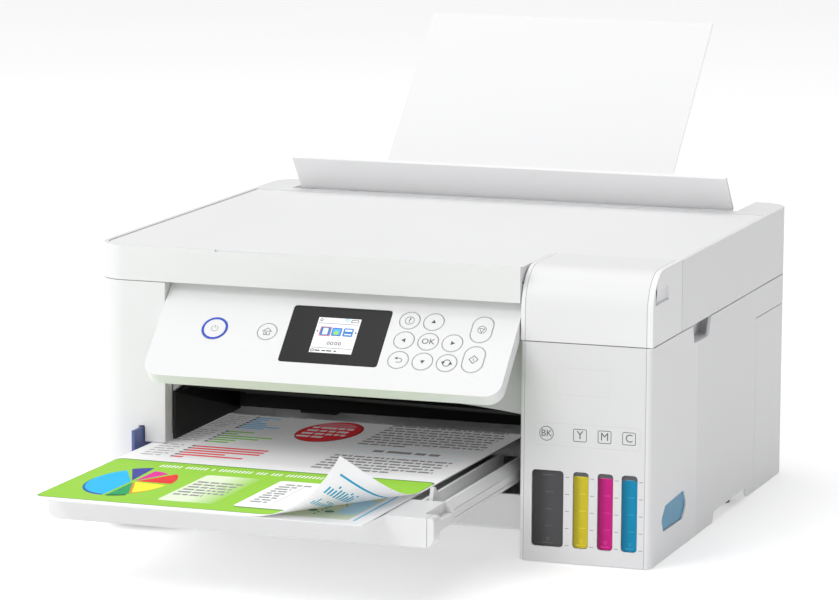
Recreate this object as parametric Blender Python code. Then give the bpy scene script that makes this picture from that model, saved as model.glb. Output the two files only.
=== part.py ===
"""Desktop ink-tank printer with a flatbed scanner, a tilting control panel and a telescoping output tray.

Every length below is in millimetres and is turned into metres when a mesh is made. X runs to the
printer's right, -Y is the front and +Z is up. Drawing coordinates are centred on the printer's body;
the empty "printer" moves them all so that the world origin lies under the middle of the whole object.
"""

import math

import bmesh
import bpy
from mathutils import Matrix, Vector

MM = 0.001
GAP = 0.3  # running gap between neighbouring pieces

# ---- driving dimensions: the body
HALF_W = 187.5
HALF_D = 173.5
TOP = 187.0
FLOOR_GAP = 0.6  # covers stop this far above the table; the feet stand on it
WALL = 2.5
CORNER_R = 20.0
SIDE_TOP = 140.5  # upper edge of the right side and of the rear
COLUMN_TOP = 163.9  # upper edge of the left side and of the front column
COLUMN_RIGHT = -138.3
UNIT_BOTTOM = 141.1  # lower face of the scanner unit
BAND_BOTTOM = 164.3  # lower edge of the unit's front band
RIM = 3.3
DECK_Z = 168.0
LID_UNDER = 176.5
LID_REAR = 112.0

# ---- driving dimensions: the ink bay
TANK_LEFT = 101.0
TANK_REAR = -106.9
COVER_R = 25.0
WINDOW_LOW = 10.6
WINDOW_HIGH = 59.4
CAP_HINGE_Y = -122.0
CAP_HINGE_Z = 138.6

# ---- driving dimensions: the control panel, drawn upright about its hinge
PANEL_HINGE = (0.0, -164.0, 149.8)
PANEL_TILT = 46.0
PANEL_X = (-137.9, 100.5)
PANEL_FACE = -8.5
PANEL_TOP = 11.2
PANEL_LENGTH = 75.0

# ---- driving dimensions: the trays and the paper
TRAY_X = (-152.6, 97.2)
TRAY_FRONT = -330.0
TRAY_Z = (39.5, 57.5)
PAGE_SIZE = (216.0, 305.0, 0.5)
PAGE_CORNER = (-151.5, -363.0, 57.8)
PAGE_YAW = 1.0
SHEET_SIZE = (210.0, 297.0, 0.8)
SHEET_SLOPE = 43.8  # degrees above the horizontal, in the open
SHEET_DIVE = 75.0  # the same, down at the feed roller
SHEET_BEND = 150.0  # radius between the two
SHEET_MARK = (160.0, 204.5)  # y, z of the path where it leaves the feeder
SHEET_ABOVE = 140.0  # length of sheet above the mark
SHEET_X = 1.5

# ---- driving dimensions: the feeder flap
FLAP_X = (-155.6, 158.8)
FLAP_HINGE = (0.0, 126.6, 188.4)
FLAP_LEAN = 130.0  # degrees from straight back
FLAP_LENGTH = 30.6


def rotated(y, z, degrees):
    """The point (y, z) turned about X."""
    c, s = math.cos(math.radians(degrees)), math.sin(math.radians(degrees))
    return y * c - z * s, y * s + z * c


def page_corner(along_x, along_y):
    """A point of the printed page's plane, from its front left corner."""
    turn = Matrix.Rotation(math.radians(-PAGE_YAW), 3, "Z")
    return Vector(PAGE_CORNER) + turn @ Vector((along_x, along_y, 0.0))


def sheet_path(s, offset=0.0):
    """A point (y, z) of the rear feed path, s above the mark, offset to the side behind the sheet."""
    bend_start = -5.0
    slope, dive = math.radians(SHEET_SLOPE), math.radians(SHEET_DIVE)
    arc_length = SHEET_BEND * (dive - slope)
    y = SHEET_MARK[0] + bend_start * math.cos(slope)
    z = SHEET_MARK[1] + bend_start * math.sin(slope)
    centre = (y + SHEET_BEND * math.sin(slope), z - SHEET_BEND * math.cos(slope))
    if s >= bend_start:
        angle, rest, base = slope, s - bend_start, (y, z)
    else:
        down = min(bend_start - s, arc_length)
        angle = slope + down / SHEET_BEND
        rest = s - bend_start + down
        base = (centre[0] - SHEET_BEND * math.sin(angle), centre[1] + SHEET_BEND * math.cos(angle))
    return (
        base[0] + rest * math.cos(angle) + offset * math.sin(angle),
        base[1] + rest * math.sin(angle) - offset * math.cos(angle),
    )


FRONT_REACH = page_corner(PAGE_SIZE[0], 0.0).y
REAR_REACH = sheet_path(SHEET_ABOVE, SHEET_SIZE[2])[0]
SHIFT_Y = -(FRONT_REACH + REAR_REACH) / 2.0


# ---- small modelling kit


def clear_scene():
    for obj in list(bpy.data.objects):
        bpy.data.objects.remove(obj, do_unlink=True)


def outline(corners, steps=4):
    """A closed outline from (a, b) or (a, b, radius) corners, the rounded ones as arcs."""
    points = []
    count = len(corners)
    for i, corner in enumerate(corners):
        here = Vector(corner[:2])
        radius = corner[2] if len(corner) > 2 else 0.0
        if radius == 0.0:
            points.append(tuple(here))
            continue
        before = (Vector(corners[i - 1][:2]) - here).normalized()
        after = (Vector(corners[(i + 1) % count][:2]) - here).normalized()
        half = before.angle(after) / 2.0
        centre = here + (before + after).normalized() * radius / math.sin(half)
        start = here + before * radius / math.tan(half) - centre
        end = here + after * radius / math.tan(half) - centre
        sweep = start.angle_signed(end)
        for k in range(steps + 1):
            angle = -sweep * k / steps
            c, s = math.cos(angle), math.sin(angle)
            points.append((centre.x + start.x * c - start.y * s, centre.y + start.x * s + start.y * c))
    return points


def ribbon(corners, thickness, steps=4):
    """The outline of a wall of even thickness on the left of an open path of (a, b, radius) corners."""
    path = [Vector(p) for p in open_path(corners, steps)]
    inner = []
    for i, point in enumerate(path):
        ahead = path[min(i + 1, len(path) - 1)] - path[max(i, 0) if i < len(path) - 1 else i - 1]
        behind = path[max(i, 1)] - path[max(i, 1) - 1]
        n1 = Vector((-behind.y, behind.x)).normalized()
        n2 = Vector((-ahead.y, ahead.x)).normalized()
        mitre = (n1 + n2).normalized()
        inner.append(point + mitre * thickness / max(mitre.dot(n1), 0.2))
    return [tuple(p) for p in path] + [tuple(p) for p in reversed(inner)]


def open_path(corners, steps):
    """The points of an open path whose middle corners may be rounded."""
    closed = outline([corners[0][:2]] + [tuple(c) for c in corners[1:-1]] + [corners[-1][:2]], steps)
    return closed


def prism(points, axis, low, high):
    """A closed prism: the outline, given in the two other axes in X, Y, Z order, swept from low to high."""
    bm = bmesh.new()
    index = "XYZ".index(axis)
    rows = []
    for level in (low, high):
        row = []
        for a, b in points:
            place = [a, b]
            place.insert(index, level)
            row.append(bm.verts.new(Vector(place) * MM))
        rows.append(row)
    bm.faces.new(rows[0])
    bm.faces.new(rows[1])
    count = len(points)
    for i in range(count):
        j = (i + 1) % count
        bm.faces.new((rows[0][i], rows[0][j], rows[1][j], rows[1][i]))
    bmesh.ops.recalc_face_normals(bm, faces=bm.faces)
    return bm


def block(x0, x1, y0, y1, z0, z1):
    return prism([(x0, y0), (x1, y0), (x1, y1), (x0, y1)], "Z", z0, z1)


def rod(centre, radius, axis, low, high, sides=24):
    """A round bar about a line along the axis; centre gives the two other coordinates."""
    ring = [
        (centre[0] + radius * math.cos(2 * math.pi * k / sides), centre[1] + radius * math.sin(2 * math.pi * k / sides))
        for k in range(sides)
    ]
    return prism(ring, axis, low, high)


def finish(name, colour, roughness, metallic=0.0):
    material = bpy.data.materials.new(name)
    material.use_nodes = True
    shader = material.node_tree.nodes["Principled BSDF"]
    shader.inputs["Base Color"].default_value = (*colour, 1.0)
    shader.inputs["Roughness"].default_value = roughness
    shader.inputs["Metallic"].default_value = metallic
    material.diffuse_color = (*colour, 1.0)
    return material


WHITE = ((0.86, 0.86, 0.87), 0.45)
PALE = ((0.80, 0.80, 0.81), 0.5)
GREY = ((0.55, 0.56, 0.57), 0.5)
BLACK = ((0.03, 0.03, 0.035), 0.5)
STEEL = ((0.62, 0.62, 0.64), 0.3, 1.0)
RUBBER = ((0.05, 0.05, 0.05), 0.85)
PAPER = ((0.93, 0.93, 0.93), 0.8)


def add(name, bm, look, parent, origin=(0.0, 0.0, 0.0), smooth=False):
    """Makes the object of one piece: its mesh is drawn in the parent's space and re-centred on origin."""
    bmesh.ops.translate(bm, verts=bm.verts, vec=-Vector(origin) * MM)
    mesh = bpy.data.meshes.new(name)
    bm.to_mesh(mesh)
    bm.free()
    obj = bpy.data.objects.new(name, mesh)
    bpy.context.scene.collection.objects.link(obj)
    obj.parent = parent
    obj.location = Vector(origin) * MM
    if look:
        mesh.materials.append(finish(name, *look))
    if smooth:
        mesh.shade_smooth()
        mesh.set_sharp_from_angle(angle=math.radians(35))
    return obj


def combine(obj, bm, operation):
    """Cuts a tool's mesh, drawn in the parent's space, from an object, or joins it on."""
    tool = add("tool_" + obj.name, bm, None, obj.parent)
    tool.hide_render = True
    tool.display_type = "WIRE"
    modifier = obj.modifiers.new(operation.lower(), "BOOLEAN")
    modifier.operation = operation
    modifier.solver = "EXACT"
    modifier.object = tool


def cut(obj, *tools):
    for tool in tools:
        combine(obj, tool, "DIFFERENCE")


def join(obj, *tools):
    for tool in tools:
        combine(obj, tool, "UNION")


def frame_empty(name, parent, place=(0.0, 0.0, 0.0), turn=(0.0, 0.0, 0.0)):
    empty = bpy.data.objects.new(name, None)
    bpy.context.scene.collection.objects.link(empty)
    empty.parent = parent
    empty.location = Vector(place) * MM
    empty.rotation_euler = [math.radians(a) for a in turn]
    return empty


# ---- the lower case


def base_tray(root):
    """Floor of the printer: raised at the front, stepped down to the feet, with a low front wall."""
    profile = [
        (-155.5, 17.0), (-155.5, 38.5), (-152.5, 38.5), (-152.5, 20.0), (-118.0, 10.5),
        (168.0, 10.5), (168.0, 7.5), (-119.0, 7.5),
    ]
    obj = add("base_tray", prism(profile, "X", -184.6, 184.6), PALE, root)
    cut(obj, block(TANK_LEFT - 0.4, 200.0, -180.0, -64.5, 0.0, 60.0))
    cut(obj, block(-200.0, -141.2, -180.0, -60.0, 0.0, 60.0))
    for side in (-1.0, 1.0):
        corner = [(side * 184.6, 150.0), (side * 190.0, 150.0), (side * 190.0, 175.0), (side * 163.0, 175.0)]
        cut(obj, prism(corner, "Z", 0.0, 60.0))


def side_recess(side):
    """The raised lower edge half way along each side, over the feet."""
    low, high = (HALF_W - 6.0, HALF_W + 6.0) if side > 0 else (-HALF_W - 6.0, -HALF_W + 6.0)
    shape = outline([(-26.0, -5.0), (-20.0, 7.5, 4.0), (65.0, 7.5, 4.0), (70.0, -5.0)])
    return prism(shape, "X", low, high)


def left_cover(root):
    """Left side and the front column, one thin shell with a slot for the card and a notch for the tray."""
    path = [
        (-HALF_W, 150.0), (-HALF_W, -HALF_D, CORNER_R), (COLUMN_RIGHT, -HALF_D, 0.0), (COLUMN_RIGHT, -161.5),
    ]
    obj = add("left_cover", prism(ribbon(path, WALL, 6), "Z", FLOOR_GAP, COLUMN_TOP), WHITE, root)
    cut(obj, side_recess(-1.0))
    cut(obj, prism([(-180.0, -5.0), (-180.0, 9.0), (-92.0, 9.0), (-84.0, -5.0)], "X", -200.0, -130.0))
    cut(obj, block(-156.6, -152.8, -176.0, -165.0, 44.0, 69.4))
    cut(obj, block(-153.1, -130.0, -176.0, -155.0, 38.8, 59.0))


def hand_notch():
    """Grip under the scanner unit on the right side."""
    shape = outline([(-82.0, 150.0), (-76.0, 128.5, 4.0), (-40.3, 128.5, 4.0), (-30.0, 150.0)])
    return prism(shape, "X", HALF_W - 8.0, HALF_W + 6.0)


def right_cover(root):
    """Middle of the right side, with a strip that runs round the rear corner above the rear case."""
    path = [(HALF_W, -64.4), (HALF_W, HALF_D, CORNER_R), (160.0, HALF_D)]
    obj = add("right_cover", prism(ribbon(path, WALL, 6), "Z", FLOOR_GAP, SIDE_TOP), WHITE, root)
    cut(obj, block(120.0, 200.0, 83.9, 200.0, -5.0, 120.6))
    cut(obj, side_recess(1.0))
    cut(obj, hand_notch())


def rear_case(root):
    """Back wall with both rear corners, the opening of the duplex unit and the two sockets."""
    path = [(HALF_W, 84.3), (HALF_W, HALF_D, CORNER_R), (-HALF_W, HALF_D, CORNER_R), (-HALF_W, 150.4)]
    obj = add("rear_case", prism(ribbon(path, WALL, 6), "Z", FLOOR_GAP, COLUMN_TOP), WHITE, root)
    cut(obj, block(-161.8, 200.0, 80.0, 200.0, SIDE_TOP, 170.0))
    cut(obj, block(159.6, 200.0, 80.0, 200.0, 120.3, 170.0))
    cut(obj, prism(outline([(-112, 24, 4), (112, 24, 4), (112, 104, 4), (-112, 104, 4)]), "Y", 165.0, 180.0))
    cut(obj, block(-166.0, -138.0, 165.0, 180.0, 20.0, 40.5))
    cut(obj, block(136.0, 150.5, 165.0, 180.0, 24.0, 37.5))


def rear_cover(root):
    """Duplex unit that pulls out of the back: a cover plate with a paper guide behind it."""
    face = outline([(-111.6, 24.4, 4), (111.6, 24.4, 4), (111.6, 103.6, 4), (-111.6, 103.6, 4)])
    obj = add("rear_cover", prism(face, "Y", 170.8, HALF_D), WHITE, root, (0.0, HALF_D, 64.0))
    join(obj, block(-106.0, 106.0, 140.0, 171.5, 30.0, 98.0))
    cut(obj, block(-103.0, 103.0, 135.0, 168.0, 33.0, 95.0))
    cut(obj, block(-24.0, 24.0, 171.5, 180.0, 84.0, 98.0))


def sockets(root):
    """Mains inlet and the square data socket on the back."""
    inlet = add("power_inlet", block(-165.6, -138.4, 152.0, HALF_D, 20.4, 40.1), BLACK, root)
    cut(inlet, prism(outline([(-162, 24, 2), (-142, 24, 2), (-142, 36.5, 2), (-162, 36.5, 2)]), "Y", 158.0, 180.0))
    data = add("usb_socket", block(136.4, 150.1, 155.0, HALF_D, 24.4, 37.1), STEEL, root)
    cut(data, prism([(138.4, 26.4), (148.1, 26.4), (148.1, 33.0), (145.6, 35.1), (140.9, 35.1), (138.4, 33.0)],
                    "Y", 162.0, 180.0))


def feet(root):
    """Four round rubber feet."""
    places = {"rear_left": (-150, 140), "rear_right": (172, 49), "front_left": (-150, -52), "front_right": (130, -52)}
    for corner, (x, y) in places.items():
        add("foot_" + corner, rod((x, y), 8.0, "Z", 0.0, 7.2, 20), RUBBER, root)


def front_beam(root):
    """Pale arch over the output opening."""
    arch = [(-137.9, 91.2), (-133.5, 95.6)]
    arch += [(x, 97.9 - 6.6 * ((x - 0.0) / 100.3) ** 2 if x > 0 else 97.9 - 2.3 * (x / 133.5) ** 2)
             for x in range(-110, 101, 15)]
    arch += [(100.5, 91.2), (100.5, 139.0), (-137.9, 139.0)]
    add("front_beam", prism(arch, "Y", -161.5, -152.5), PALE, root)


def inner_frame(root):
    """Black liner of the output opening, wider below, where the pages come out."""
    path = [(100.6, 20.0), (100.6, 90.6), (-133.8, 94.8), (-138.1, 90.4), (-138.1, 59.7)]
    obj = add("inner_frame", prism(ribbon(path, 2.0), "Y", -152.2, -44.0), BLACK, root)
    join(obj, block(-137.0, 99.5, -46.0, -44.0, 61.5, 92.0))
    join(obj, block(-138.1, -136.1, -161.2, -152.0, 59.7, 90.4))


# ---- the ink bay


def tank_fascia(root):
    """Front and right side of the ink bay with four windows and a fifth one at the side."""
    path = [(TANK_LEFT, -110.0), (TANK_LEFT, -HALF_D, 4.0), (HALF_W, -HALF_D, 5.0), (HALF_W, -64.8)]
    obj = add("tank_fascia", prism(ribbon(path, WALL), "Z", FLOOR_GAP, SIDE_TOP), PALE, root)
    for x0, x1 in TANK_WINDOWS.values():
        hole = outline([(x0, WINDOW_LOW, 2), (x1, WINDOW_LOW, 2), (x1, WINDOW_HIGH, 2), (x0, WINDOW_HIGH, 2)], 2)
        cut(obj, prism(hole, "Y", -180.0, -165.0))
    cut(obj, prism(outline(side_window(0.0), 3), "X", 180.0, 195.0))
    cut(obj, hand_notch())


TANK_WINDOWS = {
    "black": (109.6, 130.3), "yellow": (136.6, 146.7), "magenta": (152.6, 162.7), "cyan": (168.2, 178.5),
}
TANK_BODIES = {
    "black": (107.6, 132.3), "yellow": (135.0, 148.3), "magenta": (151.0, 164.3), "cyan": (166.6, 184.4),
}
INKS = {
    "black": (0.05, 0.05, 0.06), "yellow": (0.55, 0.50, 0.02), "magenta": (0.50, 0.01, 0.20), "cyan": (0.0, 0.27, 0.50),
}


def side_window(shrink):
    """The slanted window on the right side, smaller by shrink all round."""
    s = shrink
    return [
        (-140.2, 35.0 - s, 5 - s), (-148.5 + 1.2 * s, 27.0, 3.0), (-144.0 + s, 19.0 + s, 3.0),
        (-99.0 - s, 18.5 + s, 5 - s), (-88.5 - 1.2 * s, 27.0, 5.0), (-96.0 - s, 36.8 - s, 5 - s),
    ]


def ink_tanks(root):
    """Four full tanks, each with a window boss and a filling neck with a blind port."""
    for ink, (x0, x1) in TANK_BODIES.items():
        w0, w1 = TANK_WINDOWS[ink]
        middle = (x0 + x1) / 2.0
        body = outline([(x0, -170.6, 3), (x1, -170.6, 3), (x1, -112.0, 3), (x0, -112.0, 3)], 2)
        obj = add("tank_" + ink, prism(body, "Z", 5.0, 118.0), (INKS[ink], 0.25), root)
        boss = outline([
            (w0 + GAP, WINDOW_LOW + GAP, 2), (w1 - GAP, WINDOW_LOW + GAP, 2),
            (w1 - GAP, WINDOW_HIGH - GAP, 2), (w0 + GAP, WINDOW_HIGH - GAP, 2),
        ], 2)
        join(obj, prism(boss, "Y", -172.5, -170.0))
        if ink == "cyan":
            join(obj, prism(outline(side_window(GAP), 3), "X", 184.0, 186.5))
        join(obj, rod((middle, -150.0), 5.4, "Z", 117.0, 136.0, 16))
        cut(obj, rod((middle, -150.0), 4.3, "Z", 126.0, 140.0, 16))


def tank_deck(root):
    """Plate over the tanks that the filling necks stand through."""
    plate = outline([(104.0, -170.6, 3), (184.5, -170.6, 3), (184.5, -110.4, 3), (104.0, -110.4, 3)], 2)
    obj = add("tank_deck", prism(plate, "Z", 129.0, 132.0), GREY, root)
    for x0, x1 in TANK_BODIES.values():
        cut(obj, rod(((x0 + x1) / 2.0, -150.0), 6.0, "Z", 120.0, 140.0, 16))


def ink_caps(root):
    """A hinged stopper on each filling neck; each one turns about its rear edge."""
    for ink, (x0, x1) in TANK_BODIES.items():
        middle = (x0 + x1) / 2.0
        half = 5.9 if ink != "black" else 7.5
        lever = outline([
            (middle - half, -163.0, 4), (middle + half, -163.0, 4),
            (middle + half, CAP_HINGE_Y + 3.0, 2), (middle - half, CAP_HINGE_Y + 3.0, 2),
        ], 3)
        origin = (middle, CAP_HINGE_Y, CAP_HINGE_Z)
        obj = add("cap_" + ink, prism(lever, "Z", 136.5, 140.5), (INKS[ink], 0.6), root, origin)
        join(obj, rod((middle, -150.0), 3.4, "Z", 132.5, 137.0, 16))
        join(obj, rod((middle, -150.0), 4.6, "Z", 140.0, 143.5, 16))


def tank_cover(root):
    """Cover of the ink bay with a bullnose front; it turns about its top rear edge."""
    def profile(inset, low):
        return outline([
            (TANK_REAR - inset, TOP - inset), (-HALF_D + inset, TOP - inset, COVER_R - inset),
            (-HALF_D + inset, low), (TANK_REAR - inset, low),
        ], 7)
    obj = add("tank_cover", prism(profile(0.0, 140.9), "X", TANK_LEFT + GAP, HALF_W - 0.2), WHITE, root,
              (144.0, TANK_REAR, TOP))
    cut(obj, prism(profile(WALL, 130.0), "X", TANK_LEFT + 3.0, HALF_W - 3.0))
    cut(obj, block(HALF_W - 1.7, HALF_W + 5.0, -168.0, -138.0, 167.0, 176.0))


# ---- the scanner unit


def plan(inset, steps=6):
    """The body's plan outline, smaller by inset all round."""
    w, d, r = HALF_W - inset, HALF_D - inset, CORNER_R - inset
    return outline([(-w, -d, r), (w, -d, r), (w, d, r), (-w, d, r)], steps)


def scanner_tray(root):
    """Housing of the flatbed: a rimmed box that holds the glass, the lid and the feeder flap."""
    obj = add("scanner_tray", prism(plan(0.0), "Z", UNIT_BOTTOM, TOP), WHITE, root, (0.0, HALF_D, UNIT_BOTTOM))
    cut(obj, block(TANK_LEFT - GAP, 200.0, -200.0, TANK_REAR + GAP, 100.0, 200.0))
    cut(obj, block(-200.0, 200.0, -200.0, TANK_REAR + GAP, 100.0, BAND_BOTTOM))
    cut(obj, block(-200.0, -181.0, -200.0, 200.0, 100.0, BAND_BOTTOM))
    cut(obj, block(-190.0, -161.9, 116.0, 200.0, 100.0, BAND_BOTTOM))
    cut(obj, block(-178.5, 185.0, -104.2, 111.7, 143.6, 166.0))
    cut(obj, block(-178.5, 98.0, -169.8, -104.0, 166.8, DECK_Z + 1.0))
    cut(obj, block(-150.3, 150.3, -103.9, 111.0, 160.0, DECK_Z + 1.0))
    cut(obj, lid_pocket(2.5, DECK_Z), lid_pocket(0.0, LID_UNDER - 0.5))
    throat = [(115.8, 130.0), (115.8, 171.0), (124.8, 175.0), (124.8, 200.0), (190.0, 200.0), (190.0, 130.0)]
    cut(obj, prism(throat, "X", -162.0, 162.0))
    cut(obj, block(-104.0, -51.0, -180.0, -171.6, TOP - 1.3, TOP + 5.0))


def lid_outline(grow, notch):
    """The lid's plan: a rectangle without the corner of the ink bay."""
    right, front = HALF_W - RIM - 0.3, -HALF_D + RIM + 0.4
    return outline([
        (-right - grow, front - grow, CORNER_R - RIM), (TANK_LEFT - 0.6 + grow - notch, front - grow),
        (TANK_LEFT - 0.6 + grow - notch, TANK_REAR + 0.6 - grow + notch),
        (right + grow, TANK_REAR + 0.6 - grow + notch), (right + grow, LID_REAR + grow),
        (-right - grow, LID_REAR + grow),
    ], 6)


def lid_pocket(notch, low):
    grow = 0.35 if notch else 0.35
    return prism(lid_outline(grow, notch if notch else -4.0), "Z", low, 200.0)


def scanner_parts(root):
    """Glass, moving scan bar, lid and its pad."""
    add("scan_glass", block(-150.0, 150.0, -103.6, 110.7, 164.6, 167.6), ((0.6, 0.66, 0.68), 0.05), root)
    add("scan_bar", block(-168.0, -146.0, -101.0, 108.0, 146.0, 160.0), BLACK, root, (-157.0, 0.0, 150.0))
    add("lid_cover", prism(lid_outline(0.0, 0.0), "Z", LID_UNDER, TOP - 0.5), WHITE, root, (0.0, LID_REAR + 0.2, TOP))
    pad = [(-152.0, -102.0), (152.0, -102.0), (152.0, 111.0), (-152.0, 111.0)]
    add("lid_pad", prism(pad, "Z", 169.2, LID_UNDER - 0.3), WHITE, root, (0.0, LID_REAR + 0.2, TOP))


# ---- the rear feeder


def feeder_flap(root):
    """Guard of the rear feeder, leaning forward; drawn pointing straight back, then turned on its hinge."""
    shape = []
    for a, b in [(-1.0, -1.2), (FLAP_LENGTH, -1.2), (FLAP_LENGTH, 1.4), (-1.0, 1.4)]:
        y, z = rotated(a, b, FLAP_LEAN)
        shape.append((FLAP_HINGE[1] + y, FLAP_HINGE[2] + z))
    add("feeder_flap", prism(shape, "X", *FLAP_X), WHITE, root, FLAP_HINGE)


def band(s0, s1, front, back, step=8.0):
    """The side view of a strip that follows the feed path between two offsets."""
    count = max(1, round((s1 - s0) / step))
    marks = [s0 + (s1 - s0) * k / count for k in range(count + 1)]
    return [sheet_path(s, front) for s in marks] + [sheet_path(s, back) for s in reversed(marks)]


def rear_feeder(root):
    """A loaded sheet, the support behind it with its pull-up extension, and two edge guides."""
    half = SHEET_SIZE[0] / 2.0
    below = SHEET_ABOVE - SHEET_SIZE[1]
    sides = (SHEET_X - half, SHEET_X + half)
    add("loaded_paper", prism(band(below, SHEET_ABOVE, 0.0, SHEET_SIZE[2]), "X", *sides), PAPER, root)
    support = add("paper_support", prism(band(-84.0, -9.0, 1.6, 4.2), "X", -126.0, 126.0), PALE, root)
    join(support, prism(band(-12.0, 62.0, 1.6, 4.2), "X", -96.0, 96.0))
    top = sheet_path(120.0, 5.0)
    add("support_extension", prism(band(50.0, 122.0, 4.6, 6.8, 80.0), "X", -62.0, 62.0), PALE, root,
        (0.0, top[0], top[1]))
    for side, name in ((-1.0, "edge_guide_left"), (1.0, "edge_guide_right")):
        edges = sorted((SHEET_X + side * (half + 0.4), SHEET_X + side * (half + 3.4)))
        foot = sheet_path(-44.0, 1.0)
        add(name, prism(band(-60.0, -32.0, -5.0, 1.3, 7.0), "X", *edges), PALE, root, (edges[0], foot[0], foot[1]))


# ---- the print mechanism


def mechanism(root):
    """Carriage on its rail with belt and motor, the two rollers and the platen between them."""
    add("guide_rail", rod((38.0, 104.0), 5.0, "X", -181.0, 182.0), STEEL, root, smooth=True)
    carriage = add("carriage", block(92.0, 170.0, -24.0, 60.0, 82.0, 131.0), BLACK, root, (131.0, 38.0, 104.0))
    cut(carriage, rod((38.0, 104.0), 5.4, "X", 80.0, 180.0))
    loop = outline([(-172.0, 106.0, 5.9), (178.0, 106.0, 5.9), (178.0, 118.0, 5.9), (-172.0, 118.0, 5.9)])
    belt = add("timing_belt", prism(loop, "Y", 63.0, 69.0), RUBBER, root)
    inside = outline([(-170.6, 107.4, 4.5), (176.6, 107.4, 4.5), (176.6, 116.6, 4.5), (-170.6, 116.6, 4.5)])
    cut(belt, prism(inside, "Y", 60.0, 75.0))
    motor = add("carriage_motor", rod((171.0, 112.0), 12.0, "Y", 72.0, 112.0), STEEL, root, smooth=True)
    join(motor, rod((171.0, 112.0), 3.9, "Y", 62.0, 73.0, 16))
    feed_y, feed_z = sheet_path(-130.0, -10.5)
    add("feed_roller", rod((feed_y, feed_z), 9.0, "X", -118.0, 118.0), RUBBER, root, (0.0, feed_y, feed_z), True)
    add("eject_roller", rod((-54.0, 78.0), 6.0, "X", -128.0, 92.0), RUBBER, root, (0.0, -54.0, 78.0), True)
    add("platen", block(-140.0, 176.0, -43.5, 30.0, 73.0, 77.0), BLACK, root)


# ---- control panel, drawn upright about its hinge and tilted by its empty

BUTTONS = {
    "power_button": (-98.5, 35.9, 8.6), "home_button": (-62.8, 35.9, 6.5),
    "help_button": (29.0, 20.4, 6.7), "up_button": (45.0, 20.4, 6.7),
    "left_button": (29.0, 35.9, 6.7), "ok_button": (45.0, 35.9, 6.7), "right_button": (61.0, 35.9, 6.7),
    "back_button": (29.0, 51.4, 6.7), "down_button": (45.0, 51.4, 6.7), "repeat_button": (61.0, 51.4, 6.7),
    "stop_button": (77.7, 24.1, 7.0), "start_button": (77.7, 47.4, 7.0),
}
LONG_BUTTONS = {"stop_button": 3.2, "start_button": 3.2}
DISPLAY = (-49.6, 16.1, 13.8, 58.0)


def button_outline(name, grow):
    """A round or upright oblong button on the panel's face."""
    x, down, radius = BUTTONS[name]
    z = PANEL_TOP - down
    long = LONG_BUTTONS.get(name, 0.0)
    points = []
    for k in range(24):
        angle = 2 * math.pi * (k + 0.5) / 24
        lift = long if math.sin(angle) > 0 else -long
        points.append((x + (radius + grow) * math.cos(angle), z + lift + (radius + grow) * math.sin(angle)))
    return points


def panel_rectangle(x0, x1, down0, down1, radius, grow=0.0):
    high, low = PANEL_TOP - down0 + grow, PANEL_TOP - down1 - grow
    x0, x1 = x0 - grow, x1 + grow
    return outline([(x0, low, radius), (x1, low, radius), (x1, high, radius), (x0, high, radius)], 3)


def control_panel(root):
    """Shell, display and twelve buttons."""
    hinge = frame_empty("panel_hinge", root, PANEL_HINGE, (-PANEL_TILT, 0.0, 0.0))
    low = PANEL_TOP - PANEL_LENGTH
    face = outline([
        (PANEL_X[0], low, 10), (PANEL_X[1], low, 10), (PANEL_X[1], PANEL_TOP, 2), (PANEL_X[0], PANEL_TOP, 2),
    ], 6)
    shell = add("panel_shell", prism(face, "Y", PANEL_FACE, 0.5), WHITE, hinge)
    inner = outline([
        (PANEL_X[0] + 2.2, low + 2.2, 8), (PANEL_X[1] - 2.2, low + 2.2, 8),
        (PANEL_X[1] - 2.2, PANEL_TOP - 2.2, 1), (PANEL_X[0] + 2.2, PANEL_TOP - 2.2, 1),
    ], 6)
    cut(shell, prism(inner, "Y", PANEL_FACE + 2.5, 5.0))
    cut(shell, prism(panel_rectangle(*DISPLAY, 2.0, GAP), "Y", -15.0, -3.0))
    for name, (x, down, _) in BUTTONS.items():
        cut(shell, prism(button_outline(name, GAP), "Y", -15.0, -3.0))
        add(name, prism(button_outline(name, 0.0), "Y", PANEL_FACE - 0.1, -4.4), WHITE, hinge,
            (x, PANEL_FACE, PANEL_TOP - down), True)
    add("display_window", prism(panel_rectangle(*DISPLAY, 2.0), "Y", PANEL_FACE - 0.1, -5.4), BLACK, hinge)


# ---- output tray, page and card


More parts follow.
